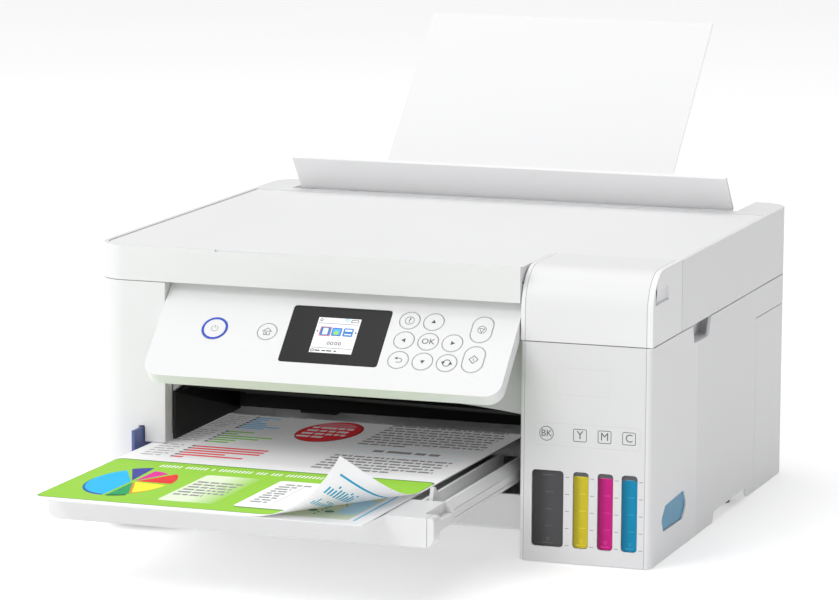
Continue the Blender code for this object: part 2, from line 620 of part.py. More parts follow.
def output_tray(root):
    """Pull-out tray: an upright front panel, a ribbed deck between two rails, and the carrier it runs on."""
    x0, x1 = TRAY_X
    low, high = TRAY_Z
    back = TRAY_FRONT + 11.0
    panel = [
        (x0, low, 6), (x1, low, 6), (x1, high, 2), (65.6, high), (59.5, high - 3.5), (x0, high - 3.5, 2),
    ]
    front = add("tray_front", prism(outline(panel, 3), "Y", TRAY_FRONT, TRAY_FRONT + 12.0), WHITE, root,
                (0.0, TRAY_FRONT, 50.0))
    deck = [
        (-133.0, 45.0), (93.0, 45.0), (93.0, 53.2), (88.6, high), (86.6, high), (86.6, 49.0), (73.4, 49.0),
        (73.4, 56.8), (71.4, 56.8), (71.4, 49.0), (-126.5, 49.0), (-126.5, 56.8), (-128.5, 56.8), (-133.0, 52.5),
    ]
    join(front, prism(deck, "Y", back, -118.0))
    join(front, block(64.0, 87.0, back, -280.0, 48.0, high))
    for rib in (-95.0, -45.0, 5.0, 50.0):
        join(front, block(rib, rib + 4.0, back, -120.0, 48.0, 56.8 if rib > 40.0 else high - 3.5))
    fin = [(-279.5, high - 1.0), (-276.5, 65.0), (-274.0, 65.0), (-264.0, high - 1.0), (-264.0, 48.0), (-279.5, 48.0)]
    join(front, prism(fin, "X", 77.0, 79.4))
    cut(front, block(87.6, 110.0, TRAY_FRONT + 12.0, -280.0, 50.8, 70.0))
    cut(front, block(92.6, 93.1, TRAY_FRONT - 1.0, TRAY_FRONT + 0.7, 30.0, 70.0))
    cut(front, block(92.6, 93.1, TRAY_FRONT - 1.0, TRAY_FRONT + 13.0, high - 0.7, 70.0))
    for z in (47.4, 52.6):
        cut(front, block(92.5, 95.0, -279.0, -100.0, z, z + 0.5))
    carrier = [
        (-122.0, 41.0), (82.0, 41.0), (82.0, 44.6), (78.0, 44.6), (78.0, 43.4), (-118.0, 43.4), (-118.0, 44.6),
        (-122.0, 44.6),
    ]
    add("tray_slide", prism(carrier, "Y", -172.0, -60.0), WHITE, root, (0.0, -172.0, 42.0))


def printed_page(root):
    """A finished page lying on the tray, a little askew, with its tail on the exit."""
    page = frame_empty("page_corner", root, PAGE_CORNER, (0.0, 0.0, -PAGE_YAW))
    add("printed_page", block(0.0, PAGE_SIZE[0], 0.0, PAGE_SIZE[1], 0.0, PAGE_SIZE[2]), PAPER, page)


def memory_card(root):
    add("memory_card", block(-155.8, -153.7, -188.5, -156.5, 44.7, 68.7), ((0.02, 0.06, 0.30), 0.4), root,
        (-154.7, -188.5, 56.7))


def main():
    clear_scene()
    root = frame_empty("printer", None, (0.0, SHIFT_Y, 0.0))
    for make in (
        base_tray, left_cover, right_cover, rear_case, rear_cover, sockets, feet, front_beam, inner_frame,
        tank_fascia, ink_tanks, tank_deck, ink_caps, tank_cover, scanner_tray, scanner_parts, feeder_flap,
        rear_feeder, mechanism, control_panel, output_tray, printed_page, memory_card,
    ):
        make(root)
    bpy.context.view_layer.update()


main()
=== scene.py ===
import math
import random

import bmesh
import bpy
from mathutils import Matrix, Vector


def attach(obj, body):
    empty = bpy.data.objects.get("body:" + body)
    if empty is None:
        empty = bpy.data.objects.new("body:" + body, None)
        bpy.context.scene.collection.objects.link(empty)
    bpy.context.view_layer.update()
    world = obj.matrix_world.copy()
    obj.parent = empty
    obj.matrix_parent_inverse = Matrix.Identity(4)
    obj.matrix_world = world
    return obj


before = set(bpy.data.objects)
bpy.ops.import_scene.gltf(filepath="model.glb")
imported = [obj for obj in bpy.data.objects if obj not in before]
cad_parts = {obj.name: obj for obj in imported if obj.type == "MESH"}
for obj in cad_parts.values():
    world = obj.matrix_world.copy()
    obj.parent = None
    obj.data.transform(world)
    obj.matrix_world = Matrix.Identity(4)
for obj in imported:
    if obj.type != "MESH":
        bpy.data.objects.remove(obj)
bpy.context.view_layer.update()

# ---------------------------------------------------------------- camera
# A long lens stands a little to the printer's right and slightly above it, so the front, the
# right side and the top all show with hardly any convergence. It is made first and never moved.
FRAME_SHIFT = 0.052585  # the drawing's centre lies this far behind the frame's origin, metres
ORBIT = math.radians(18.713)
RISE = math.radians(9.0996)
ROLL = math.radians(0.384)
LENS_LENGTH = 187.86
FILM_WIDE = 36.0
STAND = Vector((0.90780, -2.75221 + FRAME_SHIFT, 0.59863))
towards = Vector((math.sin(ORBIT) * math.cos(RISE), -math.cos(ORBIT) * math.cos(RISE), math.sin(RISE)))
level = Vector((math.cos(ORBIT), math.sin(ORBIT), 0.0))
upright = towards.cross(level)
across = math.cos(ROLL) * level + math.sin(ROLL) * upright
above = -math.sin(ROLL) * level + math.cos(ROLL) * upright
lens = bpy.data.cameras.new("studio_lens")
lens.lens = LENS_LENGTH
lens.sensor_width = FILM_WIDE
lens.clip_start = 0.1
lens.clip_end = 50.0
camera = bpy.data.objects.new("studio_camera", lens)
bpy.context.scene.collection.objects.link(camera)
camera.matrix_world = Matrix((
    (across.x, above.x, towards.x, STAND.x),
    (across.y, above.y, towards.y, STAND.y),
    (across.z, above.z, towards.z, STAND.z),
    (0.0, 0.0, 0.0, 1.0)))
bpy.context.scene.camera = camera
bpy.context.scene.view_settings.view_transform = "Standard"

# ---------------------------------------------------------------- floor and studio light
# A pale sheet of studio floor and an even white room. The room is dimmer on the printer's right
# and behind it, and two broad lamps hang over it, so the right side falls into soft shade.
FLOOR_SIZE = 14.0
FLOOR_CORNER = 2.0
bpy.ops.object.select_all(action="DESELECT")
bpy.ops.mesh.primitive_plane_add(size=FLOOR_SIZE, location=(0.0, 0.0, 0.0))
floor = bpy.context.active_object
floor.name = "studio_floor"
bpy.ops.object.mode_set(mode="EDIT")
bpy.ops.mesh.select_all(action="SELECT")
bpy.ops.mesh.bevel(offset=FLOOR_CORNER, segments=8, affect="VERTICES")
bpy.ops.object.mode_set(mode="OBJECT")


def add_node(tree, kind, **settings):
    """Adds a shader node. A setting is one of its inputs or, failing that, one of its properties."""
    made = tree.nodes.new("ShaderNode" + kind)
    for label, value in settings.items():
        socket = label.replace("_", " ")
        if socket in made.inputs:
            made.inputs[socket].default_value = value
        else:
            setattr(made, label, value)
    return made


def add_ramp(tree, *stops, interpolation="LINEAR"):
    """Adds a colour ramp with the given (position, colour) stops, in rising order."""
    made = add_node(tree, "ValToRGB")
    ramp = made.color_ramp
    ramp.interpolation = interpolation
    while len(ramp.elements) < len(stops):
        ramp.elements.new(0.5)
    for element, (position, color) in zip(ramp.elements, stops):
        element.position = position
        element.color = (*color, 1)
    return made


def wire(tree, *joints):
    """Joins outputs to inputs; a joint is (node, output, node, input)."""
    for start, output, end, into in joints:
        tree.links.new(start.outputs[output], end.inputs[into])


def new_material(name, **settings):
    """An empty Principled material with plain values on the shader's own sockets."""
    material = bpy.data.materials.new(name)
    material.use_nodes = True
    shader = material.node_tree.nodes["Principled BSDF"]
    for label, value in settings.items():
        shader.inputs[label.replace("_", " ")].default_value = value
    return material, material.node_tree, shader


paint, tree, shader = new_material("floor_paint", Roughness=0.75, Specular_IOR_Level=0.2,
                                   Emission_Color=(1, 1, 1, 1), Emission_Strength=0.28)
place = add_node(tree, "TexCoord")
mottle = add_node(tree, "TexNoise", Scale=3.0)
tone = add_ramp(tree, (0.0, (0.93, 0.93, 0.93)), (1.0, (0.96, 0.96, 0.96)))
wire(tree, (place, "Object", mottle, "Vector"), (mottle, "Fac", tone, "Fac"),
     (tone, "Color", shader, "Base Color"))
floor.data.materials.append(paint)

room = bpy.data.worlds.new("studio_room")
bpy.context.scene.world = room
room.use_nodes = True
tree = room.node_tree
background = tree.nodes["Background"]
direction = add_node(tree, "TexCoord")
split = add_node(tree, "SeparateXYZ")
sideways = add_node(tree, "MapRange", From_Min=-1.0)
shade = add_ramp(tree, (0.0, (0.80, 0.80, 0.81)), (0.35, (1.0, 1.0, 1.0)), (0.92, (0.16, 0.163, 0.17)))
behind = add_node(tree, "MapRange", From_Min=-0.2, To_Min=1.05, To_Max=0.62)
dimmed = add_node(tree, "Mix", data_type="RGBA", blend_type="MULTIPLY", Factor=1.0)
seen = add_node(tree, "LightPath")
mixed = add_node(tree, "Mix", data_type="RGBA", B=(1, 1, 1, 1))
wire(tree, (direction, "Generated", split, 0), (split, "X", sideways, "Value"),
     (sideways, "Result", shade, "Fac"), (split, "Y", behind, "Value"), (shade, "Color", dimmed, "A"),
     (behind, "Result", dimmed, "B"), (seen, "Is Camera Ray", mixed, "Factor"),
     (dimmed, "Result", mixed, "A"), (mixed, "Result", background, "Color"))
background.inputs["Strength"].default_value = 1.0


def lamp(name, spot, aim, size, watts):
    """A broad studio lamp at its spot, turned to face its aim."""
    light = bpy.data.lights.new(name, "AREA")
    light.shape = "RECTANGLE"
    light.size, light.size_y = size
    light.energy = watts
    holder = bpy.data.objects.new(name, light)
    bpy.context.scene.collection.objects.link(holder)
    holder.location = spot
    holder.rotation_euler = (Vector(aim) - Vector(spot)).to_track_quat("-Z", "Y").to_euler()


lamp("key_lamp", (-1.2, -1.9, 2.0), (0.0, -0.05, 0.1), (1.6, 1.2), 21.0)
lamp("top_lamp", (0.0, 0.3, 2.6), (0.0, 0.0, 0.1), (2.0, 2.0), 20.0)

# ---------------------------------------------------------------- moulded covers
# Base, side covers, rear case and front column are injection-moulded white polystyrene with a
# fine spark texture. They clip together with thin dark joints, and every corner has a tool radius.
FLOAT, COLOR, VECTOR = "NodeSocketFloat", "NodeSocketColor", "NodeSocketVector"


def new_group(name, inputs, outputs):
    """An empty shader group with its sockets, and the nodes where it starts and ends."""
    group = bpy.data.node_groups.new(name, "ShaderNodeTree")
    for label, kind, value in inputs:
        socket = group.interface.new_socket(label, in_out="INPUT", socket_type=kind)
        socket.default_value = value
    for label, kind in outputs:
        group.interface.new_socket(label, in_out="OUTPUT", socket_type=kind)
    return group, group.nodes.new("NodeGroupInput"), group.nodes.new("NodeGroupOutput")


def place_group(tree, group, shader, **values):
    """Places a group in a material and joins its outputs to the shader's like sockets."""
    layer = add_node(tree, "Group", node_tree=group)
    for label, value in values.items():
        layer.inputs[label].default_value = value
    for output in layer.outputs:
        target = "Base Color" if output.name == "Color" else output.name
        tree.links.new(output, shader.inputs[target])
    return layer


skin, entry, leave = new_group(
    "moulded_skin",
    [("Color", COLOR, (0.8, 0.8, 0.8, 1)), ("Grain", FLOAT, 2200.0), ("Depth", FLOAT, 0.03),
     ("Roughness", FLOAT, 0.42), ("Spread", FLOAT, 0.08), ("Wear", FLOAT, 0.06)],
    [("Color", COLOR), ("Roughness", FLOAT), ("Normal", VECTOR)])
where = add_node(skin, "TexCoord")
grain = add_node(skin, "TexNoise", Detail=2.0)
flow = add_node(skin, "TexNoise", Scale=9.0, Detail=3.0)
bump = add_node(skin, "Bump", Distance=0.0002)
centred = add_node(skin, "MapRange", To_Min=-1.0)
uneven = add_node(skin, "Math", operation="MULTIPLY_ADD")
# Convex edges, found by their pointiness, are mixed toward white: a painted highlight along the rolled
# edges.
edges = add_node(skin, "NewGeometry")
edge_mask = add_node(skin, "MapRange", From_Min=0.52, From_Max=0.62)
edge_gain = add_node(skin, "Math", operation="MULTIPLY")
brighten = add_node(skin, "Mix", data_type="RGBA", B=(1, 1, 1, 1))
drift = add_node(skin, "Mix", data_type="RGBA", blend_type="MULTIPLY", Factor=1.0)
drift_tone = add_node(skin, "MapRange", To_Min=0.972, To_Max=1.0)
wire(skin, (where, "Object", grain, "Vector"), (where, "Object", flow, "Vector"),
     (entry, "Grain", grain, "Scale"), (grain, "Fac", bump, "Height"), (entry, "Depth", bump, "Strength"),
     (flow, "Fac", centred, "Value"), (centred, "Result", uneven, 0), (entry, "Spread", uneven, 1),
     (entry, "Roughness", uneven, 2), (edges, "Pointiness", edge_mask, "Value"),
     (edge_mask, "Result", edge_gain, 0), (entry, "Wear", edge_gain, 1), (flow, "Fac", drift_tone, "Value"),
     (entry, "Color", drift, "A"), (drift_tone, "Result", drift, "B"), (edge_gain, 0, brighten, "Factor"),
     (drift, "Result", brighten, "A"), (brighten, "Result", leave, "Color"),
     (uneven, 0, leave, "Roughness"), (bump, "Normal", leave, "Normal"))


def moulded(name, color, grain=2200.0, depth=0.03, rough=0.42, spread=0.08, edge_highlight=0.06, specular=0.5,
            metal=0.0):
    """A plastic or metal finish on the shared skin; uniform values sit on the shader itself. edge_highlight
    is the share of painted highlight mixed into convex edges.
    """
    material, tree, shader = new_material(name, Specular_IOR_Level=specular, Metallic=metal)
    place_group(tree, skin, shader, Color=(*color, 1), Grain=grain, Depth=depth, Roughness=rough,
                Spread=spread, Wear=edge_highlight)
    return material


WELD_REACH = 2e-6  # metres; a CAD node's triangles are loose until they are welded
FLAT_WITHIN = math.radians(0.6)
EDGE_FROM = math.radians(34.0)


def dress(names, material, radius=0.0):
    """Gives CAD pieces their finish, and rolls their sharp edges by a radius in millimetres."""
    for name in names:
        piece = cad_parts[name]
        piece.data.materials.clear()
        piece.data.materials.append(material)
        if not radius:
            continue
        piece.modifiers.new("weld", "WELD").merge_threshold = WELD_REACH
        flat = piece.modifiers.new("flat", "DECIMATE")
        flat.decimate_type = "DISSOLVE"
        flat.angle_limit = FLAT_WITHIN
        roll = piece.modifiers.new("roll", "BEVEL")
        roll.limit_method = "ANGLE"
        roll.angle_limit = EDGE_FROM
        roll.width = radius * 0.001
        roll.segments = 2
        for face in piece.data.polygons:
            face.use_smooth = True
        piece.modifiers.new("shading", "WEIGHTED_NORMAL").keep_sharp = True


shell_white = moulded("shell_white", (0.80, 0.80, 0.805), depth=0.05, rough=0.46)
dress(["base_tray", "left_cover", "right_cover", "rear_case", "rear_cover"], shell_white, radius=0.6)

# ---------------------------------------------------------------- ink bay front and cover
# The fascia and the ink cover have a rounded cheek down each side, and a fine dark joint line 3 to 4 mm
# in shows where the cheek meets the front. The cheeks are painted lighter than the front: a painted
# highlight on the rounded corners.
cheeks, entry, leave = new_group(
    "cheek_joints",
    [("Color", COLOR, (0.8, 0.8, 0.8, 1)), ("Left Joint", FLOAT, 0.1042), ("Right Joint", FLOAT, 0.1832),
     ("Line", FLOAT, 0.00022)],
    [("Color", COLOR)])
where = add_node(cheeks, "TexCoord")
parts = add_node(cheeks, "SeparateXYZ")
near_left, near_right = (add_node(cheeks, "Math", operation="COMPARE") for _ in range(2))
beyond_left = add_node(cheeks, "Math", operation="LESS_THAN")
beyond_right = add_node(cheeks, "Math", operation="GREATER_THAN")
either, cheek = (add_node(cheeks, "Math", operation="MAXIMUM") for _ in range(2))
partly = add_node(cheeks, "Math", operation="MULTIPLY")
partly.inputs[1].default_value = 0.6
# The cheeks beyond the joints are mixed toward a lighter white: painted highlight.
lit = add_node(cheeks, "Mix", data_type="RGBA", B=(0.90, 0.90, 0.905, 1))
lined = add_node(cheeks, "Mix", data_type="RGBA", B=(0.42, 0.42, 0.43, 1))
for near, beyond, side in ((near_left, beyond_left, "Left Joint"),
                           (near_right, beyond_right, "Right Joint")):
    wire(cheeks, (parts, "X", near, 0), (entry, side, near, 1), (entry, "Line", near, 2),
         (parts, "X", beyond, 0), (entry, side, beyond, 1))
wire(cheeks, (where, "Object", parts, 0), (near_left, 0, either, 0), (near_right, 0, either, 1),
     (beyond_left, 0, cheek, 0), (beyond_right, 0, cheek, 1), (cheek, 0, partly, 0),
     (partly, 0, lit, "Factor"), (entry, "Color", lit, "A"), (either, 0, lined, "Factor"),
     (lit, "Result", lined, "A"), (lined, "Result", leave, "Color"))


def with_cheeks(name, color):
    """Moulded white with two dark joint lines, and a painted highlight on the cheeks beyond them."""
    material = moulded(name, color, depth=0.05, rough=0.44)
    tree = material.node_tree
    surface = next(made for made in tree.nodes if made.type == "GROUP")
    joints = add_node(tree, "Group", node_tree=cheeks)
    joints.inputs["Color"].default_value = (*color, 1)
    wire(tree, (joints, "Color", surface, "Color"))
    return material


dress(["tank_fascia"], with_cheeks("fascia_white", (0.73, 0.73, 0.735)), radius=0.6)
dress(["tank_cover"], with_cheeks("cover_white", (0.81, 0.81, 0.815)), radius=0.6)

# ---------------------------------------------------------------- hand grip pocket
# Behind the notch in the right cover sits a small closed pocket that fingers reach into to lift
# the scanner. It is part of the inner moulding, in a duller grey plastic.
POCKET_BACK, POCKET_MOUTH = 0.1765, 0.1848  # across, metres
POCKET_FRONT, POCKET_REAR = -0.0838, -0.0282
POCKET_FLOOR, POCKET_TOP = 0.1268, 0.1408
POCKET_WALL = 0.0014
POCKET_DEPTH = 0.0058
POCKET_EDGE = 0.0003


def choose(piece, test, domain="FACE"):
    """In edit mode, selects exactly the faces (or edges) whose middle passes the test."""
    mesh = bmesh.from_edit_mesh(piece.data)
    bpy.ops.mesh.select_mode(type=domain)
    for part in list(mesh.verts) + list(mesh.edges) + list(mesh.faces):
        part.select = False
    for part in (mesh.faces if domain == "FACE" else mesh.edges):
        middle = part.calc_center_median() if domain == "FACE" else (
            part.verts[0].co + part.verts[1].co) / 2
        if test(middle, part):
            part.select_set(True)
    mesh.select_flush_mode()
    bmesh.update_edit_mesh(piece.data)


def begin_box(name, low, high):
    """A cube added at its place and size, left in edit mode, all selected."""
    bpy.ops.object.select_all(action="DESELECT")
    low, high = Vector(low), Vector(high)
    bpy.ops.mesh.primitive_cube_add(size=1.0, location=(low + high) / 2)
    piece = bpy.context.active_object
    piece.name = piece.data.name = name
    piece.scale = high - low
    bpy.ops.object.transform_apply(location=True, rotation=True, scale=True)
    bpy.ops.object.mode_set(mode="EDIT")
    bpy.ops.mesh.select_all(action="SELECT")
    return piece


def close_up():
    """Turns every face of the edited piece outwards, and leaves edit mode."""
    bpy.ops.mesh.select_all(action="SELECT")
    bpy.ops.mesh.normals_make_consistent(inside=False)
    bpy.ops.object.mode_set(mode="OBJECT")


def done(piece, material, body, place=None):
    """Closes the piece if it is still edited, gives the finish, and fixes it to its body."""
    if bpy.context.mode != "OBJECT":
        close_up()
    if place is not None:
        piece.data.transform(place)
    piece.data.materials.clear()
    piece.data.materials.append(material)
    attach(piece, body)
    return piece


pocket_grey = moulded("pocket_grey", (0.80, 0.80, 0.81), depth=0.05, rough=0.5)
pocket = begin_box("hand_grip_pocket",
                   (POCKET_BACK, POCKET_FRONT + FRAME_SHIFT, POCKET_FLOOR),
                   (POCKET_MOUTH, POCKET_REAR + FRAME_SHIFT, POCKET_TOP))
choose(pocket, lambda c, f: f.normal.x > 0.5)
bpy.ops.mesh.inset(thickness=POCKET_WALL)
bpy.ops.mesh.extrude_region_move(TRANSFORM_OT_translate={"value": (-POCKET_DEPTH, 0.0, 0.0)})
choose(pocket, lambda c, e: True, "EDGE")
bpy.ops.mesh.bevel(offset=POCKET_EDGE, segments=2)
done(pocket, pocket_grey, "printer_body")

# ---------------------------------------------------------------- ink window front
# The ink bay's front carries printed marks: a ring or a square over each tank, and five grey ticks
# beside every window. Round the marks and round the blank badge a faint raised plate is drawn only
# as a thin grey outline, painted shade along the plate's edge.
FACE_Y = -0.1735 + FRAME_SHIFT
PRINT = 0.00006  # metres that pad print stands proud
PROUD = 0.00012  # metres that a moulded mark stands proud
FACE = Matrix.Translation((0.0, FACE_Y, 0.0)) @ Matrix.Rotation(math.radians(90), 4, "X")


def begin_plate(name, x, y, width, height, corner=0.0, steps=5):
    """A flat plate drawn in millimetres on a face, its corners rounded, left in edit mode."""
    bpy.ops.object.select_all(action="DESELECT")
    bpy.ops.mesh.primitive_plane_add(size=1.0, location=(x * 0.001, y * 0.001, 0.0))
    piece = bpy.context.active_object
    piece.name = piece.data.name = name
    piece.scale = (width * 0.001, height * 0.001, 1.0)
    bpy.ops.object.transform_apply(location=True, rotation=True, scale=True)
    bpy.ops.object.mode_set(mode="EDIT")
    bpy.ops.mesh.select_all(action="SELECT")
    if corner:
        bpy.ops.mesh.bevel(offset=corner * 0.001, segments=steps, affect="VERTICES")
        bpy.ops.mesh.select_all(action="SELECT")
        bpy.ops.mesh.remove_doubles(threshold=1e-6)
        bpy.ops.mesh.select_all(action="SELECT")
    return piece


def raise_up(height=PRINT):
    """Gives the edited outline or plate its thickness."""
    bpy.ops.mesh.select_all(action="SELECT")
    bpy.ops.mesh.extrude_region_move(TRANSFORM_OT_translate={"value": (0.0, 0.0, height)})


def hollow(thickness):
    """Leaves only the outline of the plate that is being edited."""
    bpy.ops.mesh.inset(thickness=thickness * 0.001)
    bpy.ops.mesh.delete(type="FACE")


def joined(name, pieces):
    """Several like marks become one piece, as one pass of the printing pad makes them."""
    bpy.ops.object.select_all(action="DESELECT")
    for piece in pieces:
        piece.select_set(True)
    bpy.context.view_layer.objects.active = pieces[0]
    if len(pieces) > 1:
        bpy.ops.object.join()
    pieces[0].name = pieces[0].data.name = name
    return pieces[0]


def plate(name, x, y, width, height, corner=0.0, ring=0.0, height_up=PRINT, steps=5):
    """One finished flat mark: solid, or an outline of the given line width."""
    piece = begin_plate(name, x, y, width, height, corner, steps)
    if ring:
        hollow(ring)
    raise_up(height_up)
    close_up()
    return piece


def disc(name, x, y, radius, ring=0.0, height_up=PRINT, vertices=64, turn=0.0):
    """A round mark, or a polygon with few corners, solid or as an outline."""
    bpy.ops.object.select_all(action="DESELECT")
    bpy.ops.mesh.primitive_circle_add(vertices=vertices, radius=radius * 0.001, fill_type="NGON",
                                      location=(x * 0.001, y * 0.001, 0.0), rotation=(0, 0, turn))
    piece = bpy.context.active_object
    piece.name = piece.data.name = name
    bpy.ops.object.transform_apply(location=True, rotation=True, scale=True)
    bpy.ops.object.mode_set(mode="EDIT")
    bpy.ops.mesh.select_all(action="SELECT")
    if ring:
        hollow(ring)
    raise_up(height_up)
    close_up()
    return piece


def letters(name, words, x, y, size, weight=0.0):
    """Plain code letters, turned from a type curve into a solid mark."""
    bpy.ops.object.select_all(action="DESELECT")
    bpy.ops.object.text_add(location=(0, 0, 0))
    piece = bpy.context.active_object
    piece.data.body = words
    piece.data.size = size * 0.001
    piece.data.align_x = "CENTER"
    piece.data.align_y = "CENTER"
    piece.data.extrude = PRINT / 2
    piece.data.offset = weight * 0.001
    piece.data.resolution_u = 3
    bpy.ops.object.convert(target="MESH")
    piece = bpy.context.active_object
    piece.name = piece.data.name = name
    piece.data.transform(Matrix.Translation((x * 0.001, y * 0.001, PRINT / 2)))
    return piece


print_grey = moulded("print_grey", (0.12, 0.12, 0.125), grain=4000.0, depth=0.02, rough=0.5, edge_highlight=0.0)
tick_grey = moulded("tick_grey", (0.30, 0.30, 0.31), grain=4000.0, depth=0.02, rough=0.5, edge_highlight=0.0)
plate_edge_shade_grey = moulded("plate_edge_shade_grey", (0.66, 0.66, 0.67), grain=4000.0, depth=0.02, rough=0.5, edge_highlight=0.0)

WINDOWS = (("black", 119.95, 20.7), ("yellow", 141.65, 10.1), ("magenta", 157.65, 10.1),
           ("cyan", 173.35, 10.3))
LABEL_Z = 82.9
codes = [disc("code_ring", 118.9, LABEL_Z, 4.65, ring=0.42)]
codes += [plate("code_square", x, LABEL_Z, 8.8, 8.2, corner=1.1, ring=0.42) for x in (140.8, 156.8, 172.7)]
codes += [letters("code_letters", word, x, LABEL_Z, size) for word, x, size in (
    ("BK", 118.9, 6.0), ("Y", 140.8, 7.4), ("M", 156.8, 7.2), ("C", 172.7, 7.2))]
done(joined("ink_code_marks", codes), print_grey, "printer_body", FACE)

LEVELS, LEVEL_PITCH = 5, 10.9
ticks = [plate("tick", x, 55.7 - LEVEL_PITCH * step, 2.5, 0.42)
         for x in (132.9, 149.1, 165.1, 181.0) for step in range(LEVELS)]
done(joined("fill_level_ticks", ticks), tick_grey, "printer_body", FACE)

# The plate edges are painted shade: grey outlines, not raised plates.
outlines = [plate("badge_plate", 142.2, 116.6, 35.5, 17.2, corner=2.2, ring=0.22),
            plate("code_plate", 145.6, 82.6, 69.0, 14.4, corner=2.2, ring=0.22)]
done(joined("fascia_plate_edge_shade", outlines), plate_edge_shade_grey, "printer_body", FACE)

# ---------------------------------------------------------------- ink tanks
# Four clear tanks stand behind the fascia with their own moulded level marks. Each is full of ink
# almost to the top, where a strip of empty grey plastic shows. The ink is painted darker towards
# the left of each window: painted shade.
EMPTY_GREY = (0.11, 0.11, 0.115, 1)
liquid, entry, leave = new_group(
    "ink_in_tank",
    [("Ink", COLOR, (0.5, 0.4, 0.02, 1)), ("Left", FLOAT, 0.1), ("Width", FLOAT, 0.01),
     ("Fill", FLOAT, 0.0563), ("Deep", FLOAT, 0.55)],
    [("Color", COLOR), ("Roughness", FLOAT)])
where = add_node(liquid, "TexCoord")
parts = add_node(liquid, "SeparateXYZ")
from_left = add_node(liquid, "Math", operation="SUBTRACT")
share = add_node(liquid, "Math", operation="DIVIDE")
# Across each window the ink is painted darker towards its left: painted shade.
depth = add_ramp(liquid, (0.10, (0, 0, 0)), (0.62, (1, 1, 1)), interpolation="EASE")
left_shade_tone = add_node(liquid, "MapRange")
darker = add_node(liquid, "Mix", data_type="RGBA", blend_type="MULTIPLY", Factor=1.0)
swirl = add_node(liquid, "TexNoise", Scale=60.0)
swirl_tone = add_node(liquid, "MapRange", To_Min=0.93, To_Max=1.04)
swirled = add_node(liquid, "Mix", data_type="RGBA", blend_type="MULTIPLY", Factor=1.0)
empty = add_node(liquid, "Math", operation="GREATER_THAN")
choice = add_node(liquid, "Mix", data_type="RGBA", B=EMPTY_GREY)
gloss = add_node(liquid, "MapRange", To_Min=0.16, To_Max=0.26)
wire(liquid, (where, "Object", parts, 0), (where, "Object", swirl, "Vector"), (parts, "X", from_left, 0),
     (entry, "Left", from_left, 1), (from_left, 0, share, 0), (entry, "Width", share, 1),
     (share, 0, depth, "Fac"), (depth, "Color", left_shade_tone, "Value"), (entry, "Deep", left_shade_tone, "To Min"),
     (entry, "Ink", darker, "A"), (left_shade_tone, "Result", darker, "B"), (swirl, "Fac", swirl_tone, "Value"),
     (swirl, "Fac", gloss, "Value"), (darker, "Result", swirled, "A"), (swirl_tone, "Result", swirled, "B"),
     (parts, "Z", empty, 0), (entry, "Fill", empty, 1), (empty, 0, choice, "Factor"),
     (swirled, "Result", choice, "A"), (choice, "Result", leave, "Color"),
     (gloss, "Result", leave, "Roughness"))


def ink(name, color, left, width, fill, left_shade):
    """Ink behind clear plastic; left, width and fill height of the window in millimetres. left_shade is the
    factor that the painted shade at the window's left takes the ink down to.
    """
    material, tree, shader = new_material(name, Specular_IOR_Level=0.18)
    place_group(tree, liquid, shader, Ink=(*color, 1), Left=left * 0.001, Width=width * 0.001,
                Fill=fill * 0.001, Deep=left_shade)
    return material


MARK_FACE = Matrix.Translation((0.0, 0.00099, 0.0)) @ FACE
INKS = {"black": ((0.075, 0.075, 0.078), 99.0, 0.55), "yellow": ((0.60, 0.50, 0.022), 56.6, 0.62),
        "magenta": ((0.55, 0.008, 0.21), 56.3, 0.55), "cyan": ((0.0, 0.24, 0.43), 55.9, 0.66)}
for shade_name, centre, width in WINDOWS:
    tint, fill, left_shade = INKS[shade_name]
    dress(["tank_" + shade_name], ink(shade_name + "_ink", tint, centre - width / 2, width, fill, left_shade))
    mark_finish = moulded(shade_name + "_mark", tuple(min(1.0, v * 1.35 + 0.02) for v in tint),
                          grain=3000.0, depth=0.02, rough=0.2, edge_highlight=0.0)
    marks = []
    for step in range(LEVELS):
        wide, aside = (6.0, 0.2) if step in (0, LEVELS - 1) else (4.2, 1.2)
        marks.append(plate("level_mark", centre + aside, 56.4 - LEVEL_PITCH * step,
                           wide if width < 15 else wide + 1.0, 0.45, height_up=PROUD))
    marks.append(disc("low_arrow", centre + 0.4, 15.6, 1.5, ring=0.35, vertices=3,
                      turn=math.radians(180), height_up=PROUD))
    done(joined("level_marks_" + shade_name, marks), mark_finish, "printer_body",
         MARK_FACE)

# ---------------------------------------------------------------- ink bay inside
# Under the ink cover the four filling necks stand on a grey moulded deck. A hinged stopper closes
# each neck, moulded in the colour of its ink.
pale_plastic = moulded("pale_plastic", (0.70, 0.70, 0.71), depth=0.04, rough=0.45)
dress(["tank_deck"], moulded("deck_grey", (0.36, 0.36, 0.37), depth=0.05, rough=0.5), radius=0.3)
for shade_name, tint in (("black", (0.03, 0.03, 0.032)), ("yellow", (0.72, 0.60, 0.03)),
                         ("magenta", (0.62, 0.02, 0.24)), ("cyan", (0.0, 0.30, 0.60))):
    dress(["cap_" + shade_name], moulded("cap_plastic_" + shade_name, tint, depth=0.03, rough=0.35), 0.3)

